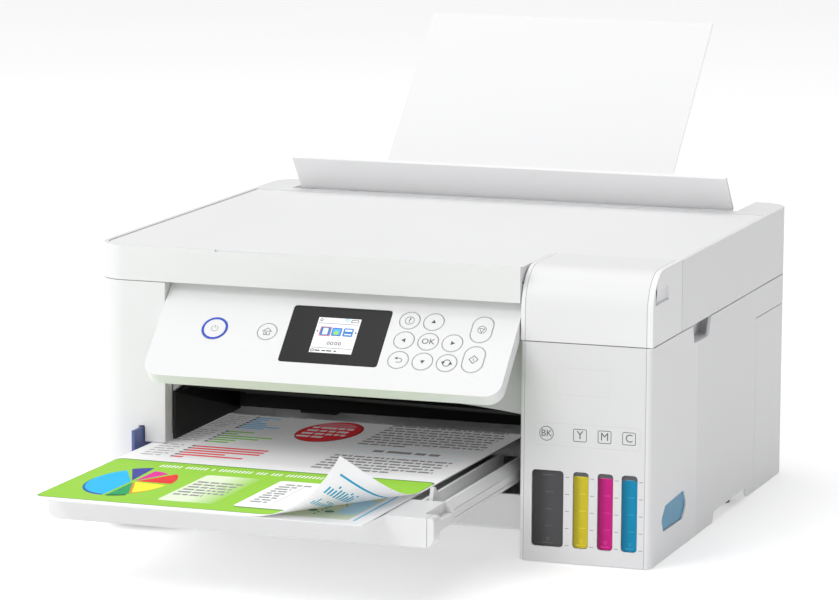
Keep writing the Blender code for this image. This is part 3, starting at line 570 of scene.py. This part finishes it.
# ---------------------------------------------------------------- scanner unit and lid
# The scanner unit is a white moulded tray that holds the flatbed glass and the scan bar. It closes
# under a white lid, whose foam pad presses the sheet to the glass.
lid_white = moulded("lid_white", (0.85, 0.85, 0.855), grain=1500.0, depth=0.06, rough=0.5)
dress(["scanner_tray"], shell_white, radius=0.6)
dress(["lid_cover"], lid_white, radius=0.5)
dress(["lid_pad"], moulded("pad_foam", (0.78, 0.78, 0.78), grain=900.0, depth=0.25, rough=0.8))
glass, tree, shader = new_material("flatbed_glass", Base_Color=(0.86, 0.90, 0.88, 1),
                                   Transmission_Weight=0.85, IOR=1.5)
place = add_node(tree, "TexCoord")
smear = add_node(tree, "TexNoise", Scale=35.0)
polish = add_node(tree, "MapRange", To_Min=0.02, To_Max=0.09)
wire(tree, (place, "Object", smear, "Vector"), (smear, "Fac", polish, "Value"),
     (polish, "Result", shader, "Roughness"))
dress(["scan_glass"], glass)
dark_plastic = moulded("dark_plastic", (0.012, 0.012, 0.013), depth=0.06, rough=0.42)
dress(["scan_bar", "carriage", "power_inlet", "usb_socket", "platen", "timing_belt"], dark_plastic, 0.2)
steel = moulded("rail_steel", (0.56, 0.57, 0.58), grain=700.0, depth=0.05, rough=0.3, metal=1.0)
dress(["guide_rail", "carriage_motor"], steel, radius=0.2)

# ---------------------------------------------------------------- rear paper feeder
# A hinged white guard lies behind the lid, and a sliding support with an extension holds the
# loaded sheets between two edge guides. The rollers and the feet are black rubber.
dress(["feeder_flap"], moulded("guard_white", (0.86, 0.86, 0.865), depth=0.04, rough=0.45), radius=0.3)
dress(["paper_support", "support_extension", "edge_guide_right", "edge_guide_left"], pale_plastic, 0.4)
rubber = moulded("roller_rubber", (0.04, 0.04, 0.04), grain=1200.0, depth=0.3, rough=0.75)
dress(["feed_roller", "eject_roller", "foot_rear_left", "foot_rear_right", "foot_front_left",
       "foot_front_right"], rubber, radius=0.2)

# ---------------------------------------------------------------- paper
# Office paper: bright white, matt, with a faint fibre cloudiness. Print on it is ink soaked into
# the same fibres, so both share one finish.
fibre, entry, leave = new_group(
    "paper_fibre",
    [("Color", COLOR, (0.9, 0.9, 0.9, 1)), ("Cloud", FLOAT, 0.02)],
    [("Color", COLOR), ("Roughness", FLOAT), ("Normal", VECTOR)])
where = add_node(fibre, "TexCoord")
hairs = add_node(fibre, "TexNoise", Scale=1800.0)
cloud = add_node(fibre, "TexNoise", Scale=90.0, Detail=4.0)
dim = add_node(fibre, "Math", operation="MULTIPLY")
veil = add_node(fibre, "Mix", data_type="RGBA", B=(0.5, 0.5, 0.5, 1))
relief = add_node(fibre, "Bump", Strength=0.06, Distance=0.0001)
dull = add_node(fibre, "MapRange", To_Min=0.62, To_Max=0.78)
wire(fibre, (where, "Object", hairs, "Vector"), (where, "Object", cloud, "Vector"),
     (cloud, "Fac", dim, 0), (entry, "Cloud", dim, 1), (dim, 0, veil, "Factor"),
     (entry, "Color", veil, "A"), (hairs, "Fac", relief, "Height"), (hairs, "Fac", dull, "Value"),
     (veil, "Result", leave, "Color"), (dull, "Result", leave, "Roughness"),
     (relief, "Normal", leave, "Normal"))


def paper(name, color, cloud_depth=0.02, glow=0.0, fade=None):
    """Paper or ink on paper; glow is an emission in the paper's own colour, painted light that lifts the
    face out of the shade the printer casts on it.
    fade is (start, stop, second colour) across the printer, in metres."""
    material, tree, shader = new_material(name, Specular_IOR_Level=0.25)
    layer = place_group(tree, fibre, shader, Color=(*color, 1), Cloud=cloud_depth)
    # Painted light: the face glows in its own colour.
    if glow:
        shader.inputs["Emission Strength"].default_value = glow
        wire(tree, (layer, "Color", shader, "Emission Color"))
    if fade:
        start, stop, second = fade
        place = add_node(tree, "TexCoord")
        parts = add_node(tree, "SeparateXYZ")
        reach = add_node(tree, "MapRange", From_Min=start, From_Max=stop)
        blend = add_node(tree, "Mix", data_type="RGBA", A=(*color, 1), B=(*second, 1))
        wire(tree, (place, "Object", parts, 0), (parts, "X", reach, "Value"),
             (reach, "Result", blend, "Factor"), (blend, "Result", layer, "Color"))
    return material


paper_white = paper("paper_white", (0.84, 0.84, 0.845))
# The top sheet glows a little: painted light.
page_white = paper("page_white", (0.86, 0.86, 0.865), glow=0.20)
dress(["loaded_paper", "printed_page"], paper_white)

# ---------------------------------------------------------------- output bay
# The bay is one matt black moulding that sheets come out of. A grey moulded beam closes its mouth
# under the tilting panel.
bay_black = moulded("bay_black", (0.004, 0.004, 0.0045), depth=0.08, rough=0.6, specular=0.15)
dress(["inner_frame"], bay_black, radius=0.3)
# Its grey is lifted to make up for the shadow that the panel casts on it: painted fill light.
beam_grey_painted_fill = moulded("beam_grey_painted_fill", (0.60, 0.605, 0.61), depth=0.05, rough=0.45)
dress(["front_beam"], beam_grey_painted_fill, radius=0.4)

# ---------------------------------------------------------------- output tray
# The tray pulls out in two stages, both moulded in pale grey plastic. A carrier slides in the bay,
# and on it runs a ribbed deck between two rails, which ends in an upright front panel.
tray_white = moulded("tray_white", (0.76, 0.76, 0.765), depth=0.04, rough=0.42)
dress(["tray_front", "tray_slide"], tray_white, radius=0.4)

# ---------------------------------------------------------------- control panel
# The panel is a glossy white moulding that tilts up for use. A dark window covers a small colour
# screen; the round keys are flush, each with a thin printed outline and a plain sign.
panel_white = moulded("panel_white", (0.83, 0.83, 0.835), grain=1500.0, depth=0.02, rough=0.34)
dress(["panel_shell"], panel_white, radius=0.8)
dress([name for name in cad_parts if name.endswith("_button")], panel_white, radius=0.12)
window_black = moulded("window_black", (0.014, 0.014, 0.015), grain=900.0, depth=0.01, rough=0.22,
                       spread=0.03, edge_highlight=0.0, specular=0.22)
dress(["display_window"], window_black, radius=0.1)

PANEL = (Matrix.Translation((0.0, -0.164 + FRAME_SHIFT, 0.1498))
         @ Matrix.Rotation(math.radians(-46.0), 4, "X")
         @ Matrix.Translation((0.0, -0.0086, 0.0112)) @ Matrix.Rotation(math.radians(90), 4, "X"))
KEYS = (("power", -98.5, 35.9, 8.6, 0.0), ("home", -62.8, 35.9, 6.5, 0.0), ("help", 29.0, 20.4, 6.7, 0.0),
        ("up", 45.0, 20.4, 6.7, 0.0), ("left", 29.0, 35.9, 6.7, 0.0), ("ok", 45.0, 35.9, 6.7, 0.0),
        ("right", 61.0, 35.9, 6.7, 0.0), ("back", 29.0, 51.4, 6.7, 0.0), ("down", 45.0, 51.4, 6.7, 0.0),
        ("repeat", 61.0, 51.4, 6.7, 0.0), ("stop", 77.7, 24.1, 7.0, 3.2), ("start", 77.7, 47.4, 7.0, 3.2))
line_grey = moulded("line_grey", (0.22, 0.22, 0.225), grain=4000.0, depth=0.02, rough=0.5, edge_highlight=0.0)
sign_grey = moulded("sign_grey", (0.07, 0.07, 0.075), grain=4000.0, depth=0.02, rough=0.5, edge_highlight=0.0)
lamp_blue = moulded("lamp_blue", (0.012, 0.07, 0.56), grain=2500.0, depth=0.02, rough=0.25, edge_highlight=0.0)


def arc(name, x, y, radius, line, start, stop):
    """Part of a ring, from one angle to another in degrees, counter-clockwise from the right."""
    piece = disc(name, x, y, radius, ring=line, vertices=48)
    bpy.ops.object.mode_set(mode="EDIT")

    def outside(middle, _part):
        turn = math.degrees(math.atan2(middle.y - y * 0.001, middle.x - x * 0.001)) % 360
        span = (turn - start) % 360
        return span > (stop - start) % 360
    choose(piece, outside)
    bpy.ops.mesh.delete(type="FACE")
    bpy.ops.object.mode_set(mode="OBJECT")
    return piece


for key, x, s, radius, stretch in KEYS:
    body, y = key + "_button_key", -s
    if key == "power":
        ring = disc("power_ring", x, y, radius, ring=1.45, height_up=PROUD)
        done(ring, lamp_blue, body, PANEL)
        signs = [arc("power_arc", x, y, 2.3, 0.3, 120, 60), plate("power_bar", x, y + 1.6, 0.32, 2.2)]
        done(joined("power_sign", signs), line_grey, body, PANEL)
        continue
    if stretch:
        rim = plate(key + "_rim", x, y, 2 * radius - 0.5, 2 * (radius + stretch) - 0.5, radius - 0.3, 0.22,
                    steps=14)
    else:
        rim = disc(key + "_rim", x, y, radius - 0.2, ring=0.2)
    done(rim, line_grey, body, PANEL)
    if key in ("up", "left", "right", "down"):
        facing = {"up": 0, "left": 90, "right": -90, "down": 180}[key]
        signs = [disc("arrow", x, y, 1.75, vertices=3, turn=math.radians(facing))]
    elif key == "home":
        signs = [plate("roof_left", 0.0, 0.0, 4.4, 0.36), plate("roof_right", 0.0, 0.0, 4.4, 0.36),
                 plate("walls", x, y - 1.1, 4.4, 3.2, ring=0.34),
                 plate("door", x - 0.5, y - 1.6, 1.2, 2.0, ring=0.3)]
        for slope, piece in ((1, signs[0]), (-1, signs[1])):
            piece.data.transform(Matrix.Translation(((x - slope * 1.6) / 1000, (y + 1.5) / 1000, 0.0))
                                 @ Matrix.Rotation(math.radians(40 * slope), 4, "Z"))
    elif key == "help":
        signs = [disc("help_ring", x, y, 3.1, ring=0.34), letters("help_mark", "?", x, y, 5.6, 0.02)]
    elif key == "ok":
        signs = [letters("ok_mark", "OK", x, y, 6.0, 0.0)]
    elif key == "back":
        signs = [arc("back_arc", x + 0.9, y - 0.2, 1.7, 0.4, 270, 95),
                 plate("back_foot", x - 0.1, y - 1.72, 2.2, 0.4),
                 plate("back_top", x + 0.1, y + 1.32, 2.0, 0.4),
                 disc("back_head", x - 1.5, y + 1.32, 1.2, vertices=3, turn=math.radians(90))]
    elif key == "repeat":
        signs = [arc("repeat_a", x, y, 2.7, 0.5, 25, 160), arc("repeat_b", x, y, 2.7, 0.5, 205, 340),
                 disc("repeat_head_a", x - 2.5, y + 0.2, 1.5, vertices=3, turn=math.radians(180)),
                 disc("repeat_head_b", x + 2.5, y - 0.2, 1.5, vertices=3, turn=0.0)]
    elif key == "stop":
        signs = [disc("stop_ring", x, y, 2.9, ring=0.34),
                 disc("stop_v", x, y - 0.2, 2.3, ring=0.34, vertices=3, turn=math.radians(180))]
    else:
        signs = [disc("start_frame", x, y, 3.3, ring=0.45, vertices=4),
                 plate("start_bar", x, y, 0.34, 2.4)]
    done(joined(key + "_sign", signs), sign_grey, body, PANEL)

# ---------------------------------------------------------------- colour screen
# The lit screen behind the window: a white page with a row of three picture keys, the first one
# picked out by an orange frame, and rules above and below.
WINDOW_FACE = PANEL @ Matrix.Translation((0.0, 0.0, 0.00002))


def glow(name, color, strength):
    """A lit patch of the screen, faintly uneven from dot to dot."""
    material, tree, shader = new_material(name, Roughness=0.2, Emission_Strength=strength)
    place = add_node(tree, "TexCoord")
    dots = add_node(tree, "TexNoise", Scale=3200.0)
    tone = add_ramp(tree, (0.0, tuple(value * 0.93 for value in color)), (1.0, color))
    wire(tree, (place, "Object", dots, "Vector"), (dots, "Fac", tone, "Fac"),
         (tone, "Color", shader, "Base Color"), (tone, "Color", shader, "Emission Color"))
    return material


def shown(piece, name, color, place, strength=0.3):
    """Fixes one lit mark to the panel, behind its window."""
    return done(piece, glow(name, color, strength), "panel", place)


SCREEN_X, SCREEN_S = -16.9, 35.9
shown(plate("screen_page", SCREEN_X, -SCREEN_S, 28.4, 27.6), "screen_white", (0.80, 0.80, 0.81),
      WINDOW_FACE)
LAYER_UP = Matrix.Translation((0.0, 0.0, PRINT))
ON_SCREEN = WINDOW_FACE @ LAYER_UP
FRONT = ON_SCREEN @ LAYER_UP
ICON_S = 32.9
PICK_X = SCREEN_X - 7.4
LID_X = SCREEN_X + 8.0
blocks = [plate("icon", SCREEN_X + aside, -ICON_S, 6.6, 6.4, corner=0.8) for aside in (-7.4, 0.2, 7.9)]
shown(joined("screen_icons", blocks), "screen_blue", (0.03, 0.15, 0.50), ON_SCREEN)
shown(plate("screen_pick", PICK_X, -ICON_S, 7.6, 7.4, ring=0.5), "screen_orange", (0.62, 0.16, 0.06),
      ON_SCREEN)
pictures = [plate("sheet", PICK_X, -ICON_S, 3.4, 5.0, corner=0.3),
            plate("lid", LID_X, -ICON_S + 1.5, 4.8, 1.6), plate("feet", LID_X, -ICON_S - 1.6, 4.6, 0.9)]
shown(joined("screen_pictures", pictures), "screen_pale", (0.66, 0.82, 0.90), FRONT)
shown(plate("sky", SCREEN_X + 0.2, -ICON_S, 4.8, 4.4, corner=0.3), "screen_sky", (0.06, 0.42, 0.72), FRONT)
shown(disc("hill", SCREEN_X + 0.2, -ICON_S - 1.0, 1.7, vertices=5), "screen_green", (0.30, 0.62, 0.08),
      FRONT @ LAYER_UP)
rules = [plate("rule", SCREEN_X, -26.6, 27.0, 0.35), plate("rule", SCREEN_X, -45.8, 27.0, 0.35)]
shown(joined("screen_rules", rules), "screen_rule", (0.16, 0.20, 0.25), ON_SCREEN, 0.1)
darks = [disc("pointer", SCREEN_X - 12.6, -ICON_S, 0.9, vertices=3, turn=math.radians(90)),
         disc("pointer", SCREEN_X + 13.0, -ICON_S, 0.9, vertices=3, turn=math.radians(-90)),
         disc("house", SCREEN_X - 12.0, -24.0, 1.2, ring=0.4, vertices=5),
         disc("hint", SCREEN_X - 12.4, -48.0, 1.2, ring=0.5),
         plate("battery", SCREEN_X + 10.4, -24.0, 5.0, 2.2, ring=0.4)]
for start, wide in ((-4.6, 1.7), (-2.2, 2.0), (0.5, 1.8), (3.0, 1.8)):
    darks.append(plate("caption", SCREEN_X + start + 1.5, -42.0, wide, 2.4, corner=0.6, ring=0.45))
for start, wide in ((-9.0, 3.4), (-4.8, 2.6), (-1.2, 3.6), (2.9, 1.6)):
    darks.append(plate("hint_words", SCREEN_X + start, -48.0, wide, 0.9))
shown(joined("screen_signs", darks), "screen_ink", (0.03, 0.03, 0.04), ON_SCREEN, 0.0)
signal = [arc("signal", SCREEN_X + 5.0, -24.9, radius, 0.5, 45, 135) for radius in (2.4, 1.4)]
shown(joined("screen_signal", signal), "screen_signal_blue", (0.05, 0.5, 0.75), ON_SCREEN)

# ---------------------------------------------------------------- memory card
# A blue moulded memory card stands on edge in the narrow slot beside the tray. A hand pushes it in
# and pulls it out.
# Its edges take a stronger painted highlight.
card_blue = moulded("card_blue", (0.006, 0.045, 0.27), depth=0.04, rough=0.38, edge_highlight=0.2, specular=0.25)
dress(["memory_card"], card_blue, radius=0.2)

# ---------------------------------------------------------------- printed sheets
# Two printed sheets lie on the tray. The top one is a colour report, and its front right corner
# has curled up in the warm air, so the back of it and the map printed on the sheet below show.
PAGE_WIDE, PAGE_LONG = 216.0, 305.0
PAGE_PLACE = (Matrix.Translation((-0.1515, -0.363 + FRAME_SHIFT, 0.0583))
              @ Matrix.Rotation(math.radians(-1.0), 4, "Z"))
CURL_START = Vector((145.0, 3.0))  # where the fold meets the front edge, millimetres on the page
CURL_OUT = Vector((0.833, -0.553))
CURL_R = 39.0
SHEET_LIFT = 0.10  # the top sheet's underside above the lower sheet
SHEET_THICK = 0.10


def curled(point):
    """Carries a flat page point, in metres with its height above the sheet, onto the curled page."""
    flat = Vector((point.x * 1000, point.y * 1000))
    lift = point.z * 1000
    out = (flat - CURL_START).dot(CURL_OUT)
    if out <= 0:
        return Vector((flat.x, flat.y, lift)) * 0.001
    turn = out / CURL_R
    reach = (CURL_R - lift) * math.sin(turn) - out
    moved = flat + CURL_OUT * reach
    return Vector((moved.x, moved.y, CURL_R - (CURL_R - lift) * math.cos(turn))) * 0.001


def roll_cuts(step=3.0, reach=63.0):
    """In edit mode, cuts the flat shape into strips along the curl, so that it can bend."""
    out = 0.0
    while out < reach:
        bpy.ops.mesh.select_all(action="SELECT")
        spot = (CURL_START + CURL_OUT * out) * 0.001
        bpy.ops.mesh.bisect(plane_co=(spot.x, spot.y, 0.0), plane_no=(CURL_OUT.x, CURL_OUT.y, 0.0))
        out += step
    bpy.ops.mesh.select_all(action="SELECT")


def onto_page(piece, base):
    """Leaves edit mode and carries the mesh onto the curled sheet at its height in millimetres."""
    if bpy.context.mode != "OBJECT":
        bpy.ops.object.mode_set(mode="OBJECT")
    for vertex in piece.data.vertices:
        vertex.co = curled(vertex.co + Vector((0.0, 0.0, base * 0.001)))
    return piece


TOP = SHEET_LIFT + SHEET_THICK
PRINT_STEP = 0.03
BACK_STEP = 0.05
THIN = 0.00002  # metres of ink


def cut_for_curl(piece):
    """Opens a finished flat piece again, and cuts it so that it can bend."""
    bpy.ops.object.select_all(action="DESELECT")
    bpy.context.view_layer.objects.active = piece
    piece.select_set(True)
    bpy.ops.object.mode_set(mode="EDIT")
    roll_cuts()


def printed(name, piece, material, layer=1, bend=False):
    """Ink on the top sheet, a hair above the paper and above the ink printed before it."""
    if bend:
        cut_for_curl(piece)
    piece.name = piece.data.name = name
    onto_page(piece, TOP + PRINT_STEP * layer)
    return done(piece, material, "page", PAGE_PLACE)


def text_rows(name, x0, x1, v0, v1, rows, short=0.6, seed=3, letter=1.2, comb=False):
    """Lines of print as small word bars: a grid whose gaps between lines and words are removed.
    It lies between two distances from the left edge and two from the rear edge."""
    y0, y1 = PAGE_LONG - v1, PAGE_LONG - v0
    columns = max(3, round((x1 - x0) / letter))
    bpy.ops.object.select_all(action="DESELECT")
    bpy.ops.mesh.primitive_grid_add(x_subdivisions=columns, y_subdivisions=2 * rows - 1, size=1.0,
                                    location=((x0 + x1) / 2000, (y0 + y1) / 2000, 0.0))
    piece = bpy.context.active_object
    piece.name = name
    piece.scale = ((x1 - x0) / 1000, (y1 - y0) / 1000, 1.0)
    bpy.ops.object.transform_apply(location=True, rotation=True, scale=True)
    draw = random.Random(seed)
    gaps = {}
    for row in range(rows):
        until = draw.randint(3, 7)
        for column in range(columns):
            last = row == rows - 1 and column > columns * short
            ragged = column > columns - draw.randint(0, 3)
            gaps[(row, column)] = last or ragged or column == until or (comb and column % 2 == 1)
            if column == until:
                until += draw.randint(3, 8)
    pitch = (y1 - y0) / (2 * rows - 1)
    bpy.ops.object.mode_set(mode="EDIT")

    def unprinted(middle, _face):
        line = int((y1 - middle.y * 1000) / pitch)
        column = int((middle.x * 1000 - x0) / (x1 - x0) * columns)
        return line % 2 == 1 or gaps.get((line // 2, column), False)
    choose(piece, unprinted)
    bpy.ops.mesh.delete(type="FACE")
    raise_up(THIN)
    close_up()
    return piece


def patch(x0, x1, v0, v1, corner=0.0):
    """A printed area between two distances from the left edge and two from the rear edge."""
    return plate("patch", (x0 + x1) / 2, PAGE_LONG - (v0 + v1) / 2, x1 - x0, v1 - v0, corner,
                 height_up=THIN)


sheet = begin_plate("top_sheet", PAGE_WIDE / 2, PAGE_LONG / 2, PAGE_WIDE, PAGE_LONG)
roll_cuts(2.0)
raise_up(SHEET_THICK * 0.001)
close_up()
onto_page(sheet, SHEET_LIFT)
bpy.ops.object.shade_smooth_by_angle(angle=math.radians(30))
done(sheet, page_white, "page", PAGE_PLACE)

PRINT_CLOUD = 0.08
# Print on the top sheet shares its painted glow.
PRINT_GLOW = 0.22


def dye(name, color):
    """Ink on the top sheet, glowing a little with the sheet's painted light."""
    return paper(name, color, PRINT_CLOUD, glow=PRINT_GLOW)


band_edge = dye("print_dark_green", (0.09, 0.22, 0.02))
band_green = dye("print_green", (0.28, 0.58, 0.035))
printed("band_border", patch(0.8, 215.2, 169.5, 297.0, 5.0), band_edge, 1, bend=True)
printed("band", patch(1.2, 214.6, 171.6, 296.2, 4.6), band_green, 2, bend=True)
title = text_rows("title_words", 36, 150, 180, 187, 1, letter=1.25, seed=5, short=1.0, comb=True)
printed("band_title", title, dye("print_white", (0.84, 0.86, 0.82)), 3)

PIE_X, PIE_V = 39.0, 235.0
PIE_WIDE, PIE_HIGH = 25.0, 41.0


def slice_of(name, start, stop, shift, color, layer=3, grow=1.0):
    """One slice of the pie drawing, moved out a little from the middle."""
    bpy.ops.object.select_all(action="DESELECT")
    bpy.ops.mesh.primitive_circle_add(vertices=72, radius=0.001, fill_type="TRIFAN", location=(0, 0, 0))
    piece = bpy.context.active_object
    bpy.ops.object.mode_set(mode="EDIT")

    def beyond(middle, _face):
        turn = math.degrees(math.atan2(middle.y, middle.x)) % 360
        return (turn - start) % 360 > (stop - start) % 360
    choose(piece, beyond)
    bpy.ops.mesh.delete(type="FACE")
    raise_up(THIN)
    close_up()
    middle = Matrix.Translation(((PIE_X + shift[0]) / 1000, (PAGE_LONG - PIE_V + shift[1]) / 1000, 0))
    piece.data.transform(middle @ Matrix.Diagonal((PIE_WIDE * grow, PIE_HIGH * grow, 1.0, 1.0)))
    return printed(name, piece, dye(name + "_ink", color), layer)


slice_of("pie_rim_blue", 128, 268, (-1.4, -4.0), (0.01, 0.10, 0.36), 3)
slice_of("pie_blue", 128, 268, (-1.0, -1.0), (0.0, 0.44, 0.82), 4)
slice_of("pie_indigo", 96, 126, (-1.5, 2.0), (0.035, 0.04, 0.30), 4)
slice_of("pie_magenta", 55, 92, (0.5, 1.0), (0.68, 0.01, 0.30), 4, 0.80)
slice_of("pie_red", 2, 50, (2.0, 1.0), (0.74, 0.02, 0.02), 4, 0.92)
slice_of("pie_orange", 298, 357, (0.5, -4.6), (0.62, 0.28, 0.01), 3, 0.9)
slice_of("pie_yellow", 302, 357, (2.2, -1.0), (0.93, 0.80, 0.02), 4, 0.86)
slice_of("pie_green_rim", 270, 300, (1.0, -7.0), (0.0, 0.14, 0.03), 3, 0.95)
slice_of("pie_green", 270, 300, (1.0, -2.5), (0.0, 0.32, 0.09), 4, 0.95)

box_pale = paper("print_pale_green", (0.72, 0.81, 0.60), PRINT_CLOUD, glow=PRINT_GLOW,
                 fade=(-0.060, -0.038, (0.28, 0.58, 0.035)))
box_white = dye("print_box_white", (0.86, 0.87, 0.86))
printed("quote_box", patch(74.5, 112.0, 200.0, 281.0, 3.0), box_pale, 4)
printed("chart_box_shadow", patch(125.0, 166.0, 202.0, 283.5, 3.0), band_edge, 3, bend=True)
printed("chart_box", patch(124.0, 165.0, 200.0, 281.0, 3.0), box_white, 4, bend=True)
type_grey = dye("print_type_grey", (0.27, 0.27, 0.275))
soft_type = dye("print_soft_grey", (0.50, 0.50, 0.505))
printed("quote_words", text_rows("quote", 77, 107, 220, 263, 6, seed=11), type_grey, 5)
printed("chart_words", text_rows("chart_rows", 129, 141, 216, 266, 8, seed=12, short=1.0), type_grey, 5)
printed("chart_head", text_rows("chart_head_words", 131, 148, 209, 212.5, 1, seed=13, short=1.0),
        type_grey, 5)
printed("chart_axis", patch(144.2, 144.8, 214, 266), soft_type, 5)

BARS = (("blue", (0.28, 0.56, 0.80), 33.0, 9.0, 6.1, (15, 9, 6, 12, 15, 26, 17)),
        ("green", (0.26, 0.58, 0.10), 32.0, 60.5, 7.2, (18, 9, 36, 29, 16, 14)),
        ("red", (0.76, 0.05, 0.08), 31.0, 114.5, 7.3, (50, 50, 50, 29, 44, 6)))
for label, tint, left, first, pitch, lengths in BARS:
    bars = [patch(left, left + length, first + pitch * i - 1.9, first + pitch * i + 1.9)
            for i, length in enumerate(lengths)]
    printed("bars_" + label, joined("bars", bars), dye("print_bar_" + label, tint), 1)
    starts = [patch(left - 2.6, left - 0.2, first + pitch * i - 1.6, first + pitch * i + 1.6)
              for i in range(len(lengths))]
    start_ink = dye("print_bar_start_" + label, (0.03, 0.03, 0.03))
    printed("bar_starts_" + label, joined("starts", starts), start_ink, 1)
    rows = len(lengths)
    printed("bar_names_" + label,
            text_rows("names", left - 23, left - 7, first - 1.6, first + pitch * (rows - 1) + 1.6,
                      rows, seed=20 + rows + int(left), short=1.0), soft_type, 1)


def oval(name, x, v, wide, high, color, layer):
    """A round badge drawing that is taller than it is wide, centred on x and v."""
    piece = disc(name, 0.0, 0.0, 10.0, vertices=72, height_up=THIN)
    piece.data.transform(Matrix.Translation((x / 1000, (PAGE_LONG - v) / 1000, 0.0))
                         @ Matrix.Diagonal((wide / 20, high / 20, 1.0, 1.0)))
    return printed(name, piece, dye(name + "_ink", color), layer)


oval("oval_rim", 93.8, 38.6, 41.0, 71.0, (0.36, 0.01, 0.015), 1)
oval("oval_face", 93.2, 38.2, 38.5, 67.5, (0.72, 0.02, 0.03), 2)
oval("oval_sheen", 92.0, 18.0, 26.0, 20.0, (0.74, 0.20, 0.22), 3)
printed("oval_words", text_rows("oval_rows", 78, 108, 24, 60, 4, seed=31, letter=1.5),
        dye("oval_words_white", (0.85, 0.80, 0.80)), 4)
printed("report_words", text_rows("report_rows", 125, 208, 0.6, 70, 9, seed=41, short=0.4), type_grey, 1)
printed("report_words_low", text_rows("low_rows", 124.5, 204, 107, 153, 6, seed=42, short=0.66),
        type_grey, 1)
printed("report_heading", text_rows("heading", 143, 193, 84.5, 91.5, 1, seed=43, letter=2.4, short=1.0),
        type_grey, 1)
printed("bars_heading", text_rows("bars_title", 12, 66, 0.2, 1.6, 1, seed=44, letter=2.4, short=1.0),
        type_grey, 1)
lines = [patch(125, 207, 77.2, 78.4), patch(125, 207, 96.6, 97.8)]
printed("report_rules", joined("rules", lines), dye("print_pale_blue", (0.50, 0.72, 0.82)), 1)

rule_blue = dye("print_rule_blue", (0.02, 0.34, 0.52))


def under(name, piece, material):
    """Ink on the back of the top sheet, which only its curled corner shows."""
    cut_for_curl(piece)
    piece.name = piece.data.name = name
    onto_page(piece, SHEET_LIFT - BACK_STEP)
    return done(piece, material, "page", PAGE_PLACE)


under("back_rule", patch(206.2, 207.6, 235, 297), rule_blue)
back_a = text_rows("back_rows", 181, 188, 269, 296, 9, seed=51, letter=1.6)
under("back_words", back_a, dye("print_back_blue", (0.10, 0.45, 0.62)))
back_b = text_rows("back_rows", 192, 201, 265, 297, 9, seed=52, letter=1.9)
under("back_heading", back_b, rule_blue)


def map_dye(name, color):
    """Ink on the lower sheet, without the painted glow of the top sheet."""
    return paper(name, color, PRINT_CLOUD)


def below(name, piece, material, layer=0):
    """Ink on the lower sheet, seen under the curl."""
    piece.name = piece.data.name = name
    piece.data.transform(Matrix.Translation((0.0, 0.0, THIN / 2 + THIN * layer)))
    return done(piece, material, "page", PAGE_PLACE)


below("map_ground", patch(150, 203, 205, 293), map_dye("map_pale_green", (0.60, 0.66, 0.48)), 0)
water = patch(189, 202.6, 236, 278, corner=5.0)
below("map_water", water, map_dye("map_water_blue", (0.46, 0.66, 0.76)), 1)
roads = [plate("road", 181.5 - 0.45 * i, PAGE_LONG - 232 - 5.6 * i, 0.8, 3.4, height_up=THIN)
         for i in range(10)]
below("map_road", joined("road", roads), map_dye("map_road_black", (0.03, 0.03, 0.03)), 2)
lane = arc("lane", 204.0, 60.0, 19.0, 0.7, 120, 215)
below("map_lane", lane, map_dye("map_lane_brown", (0.32, 0.24, 0.12)), 2)
trees = [disc("tree", x, PAGE_LONG - v, 3.0, vertices=14, height_up=THIN)
         for x, v in ((192, 235), (173, 273), (184, 274))]
below("map_trees", joined("trees", trees), map_dye("map_tree_green", (0.06, 0.20, 0.10)), 3)
below("map_rule", patch(206.4, 207.6, 208, 294), rule_blue, 1)
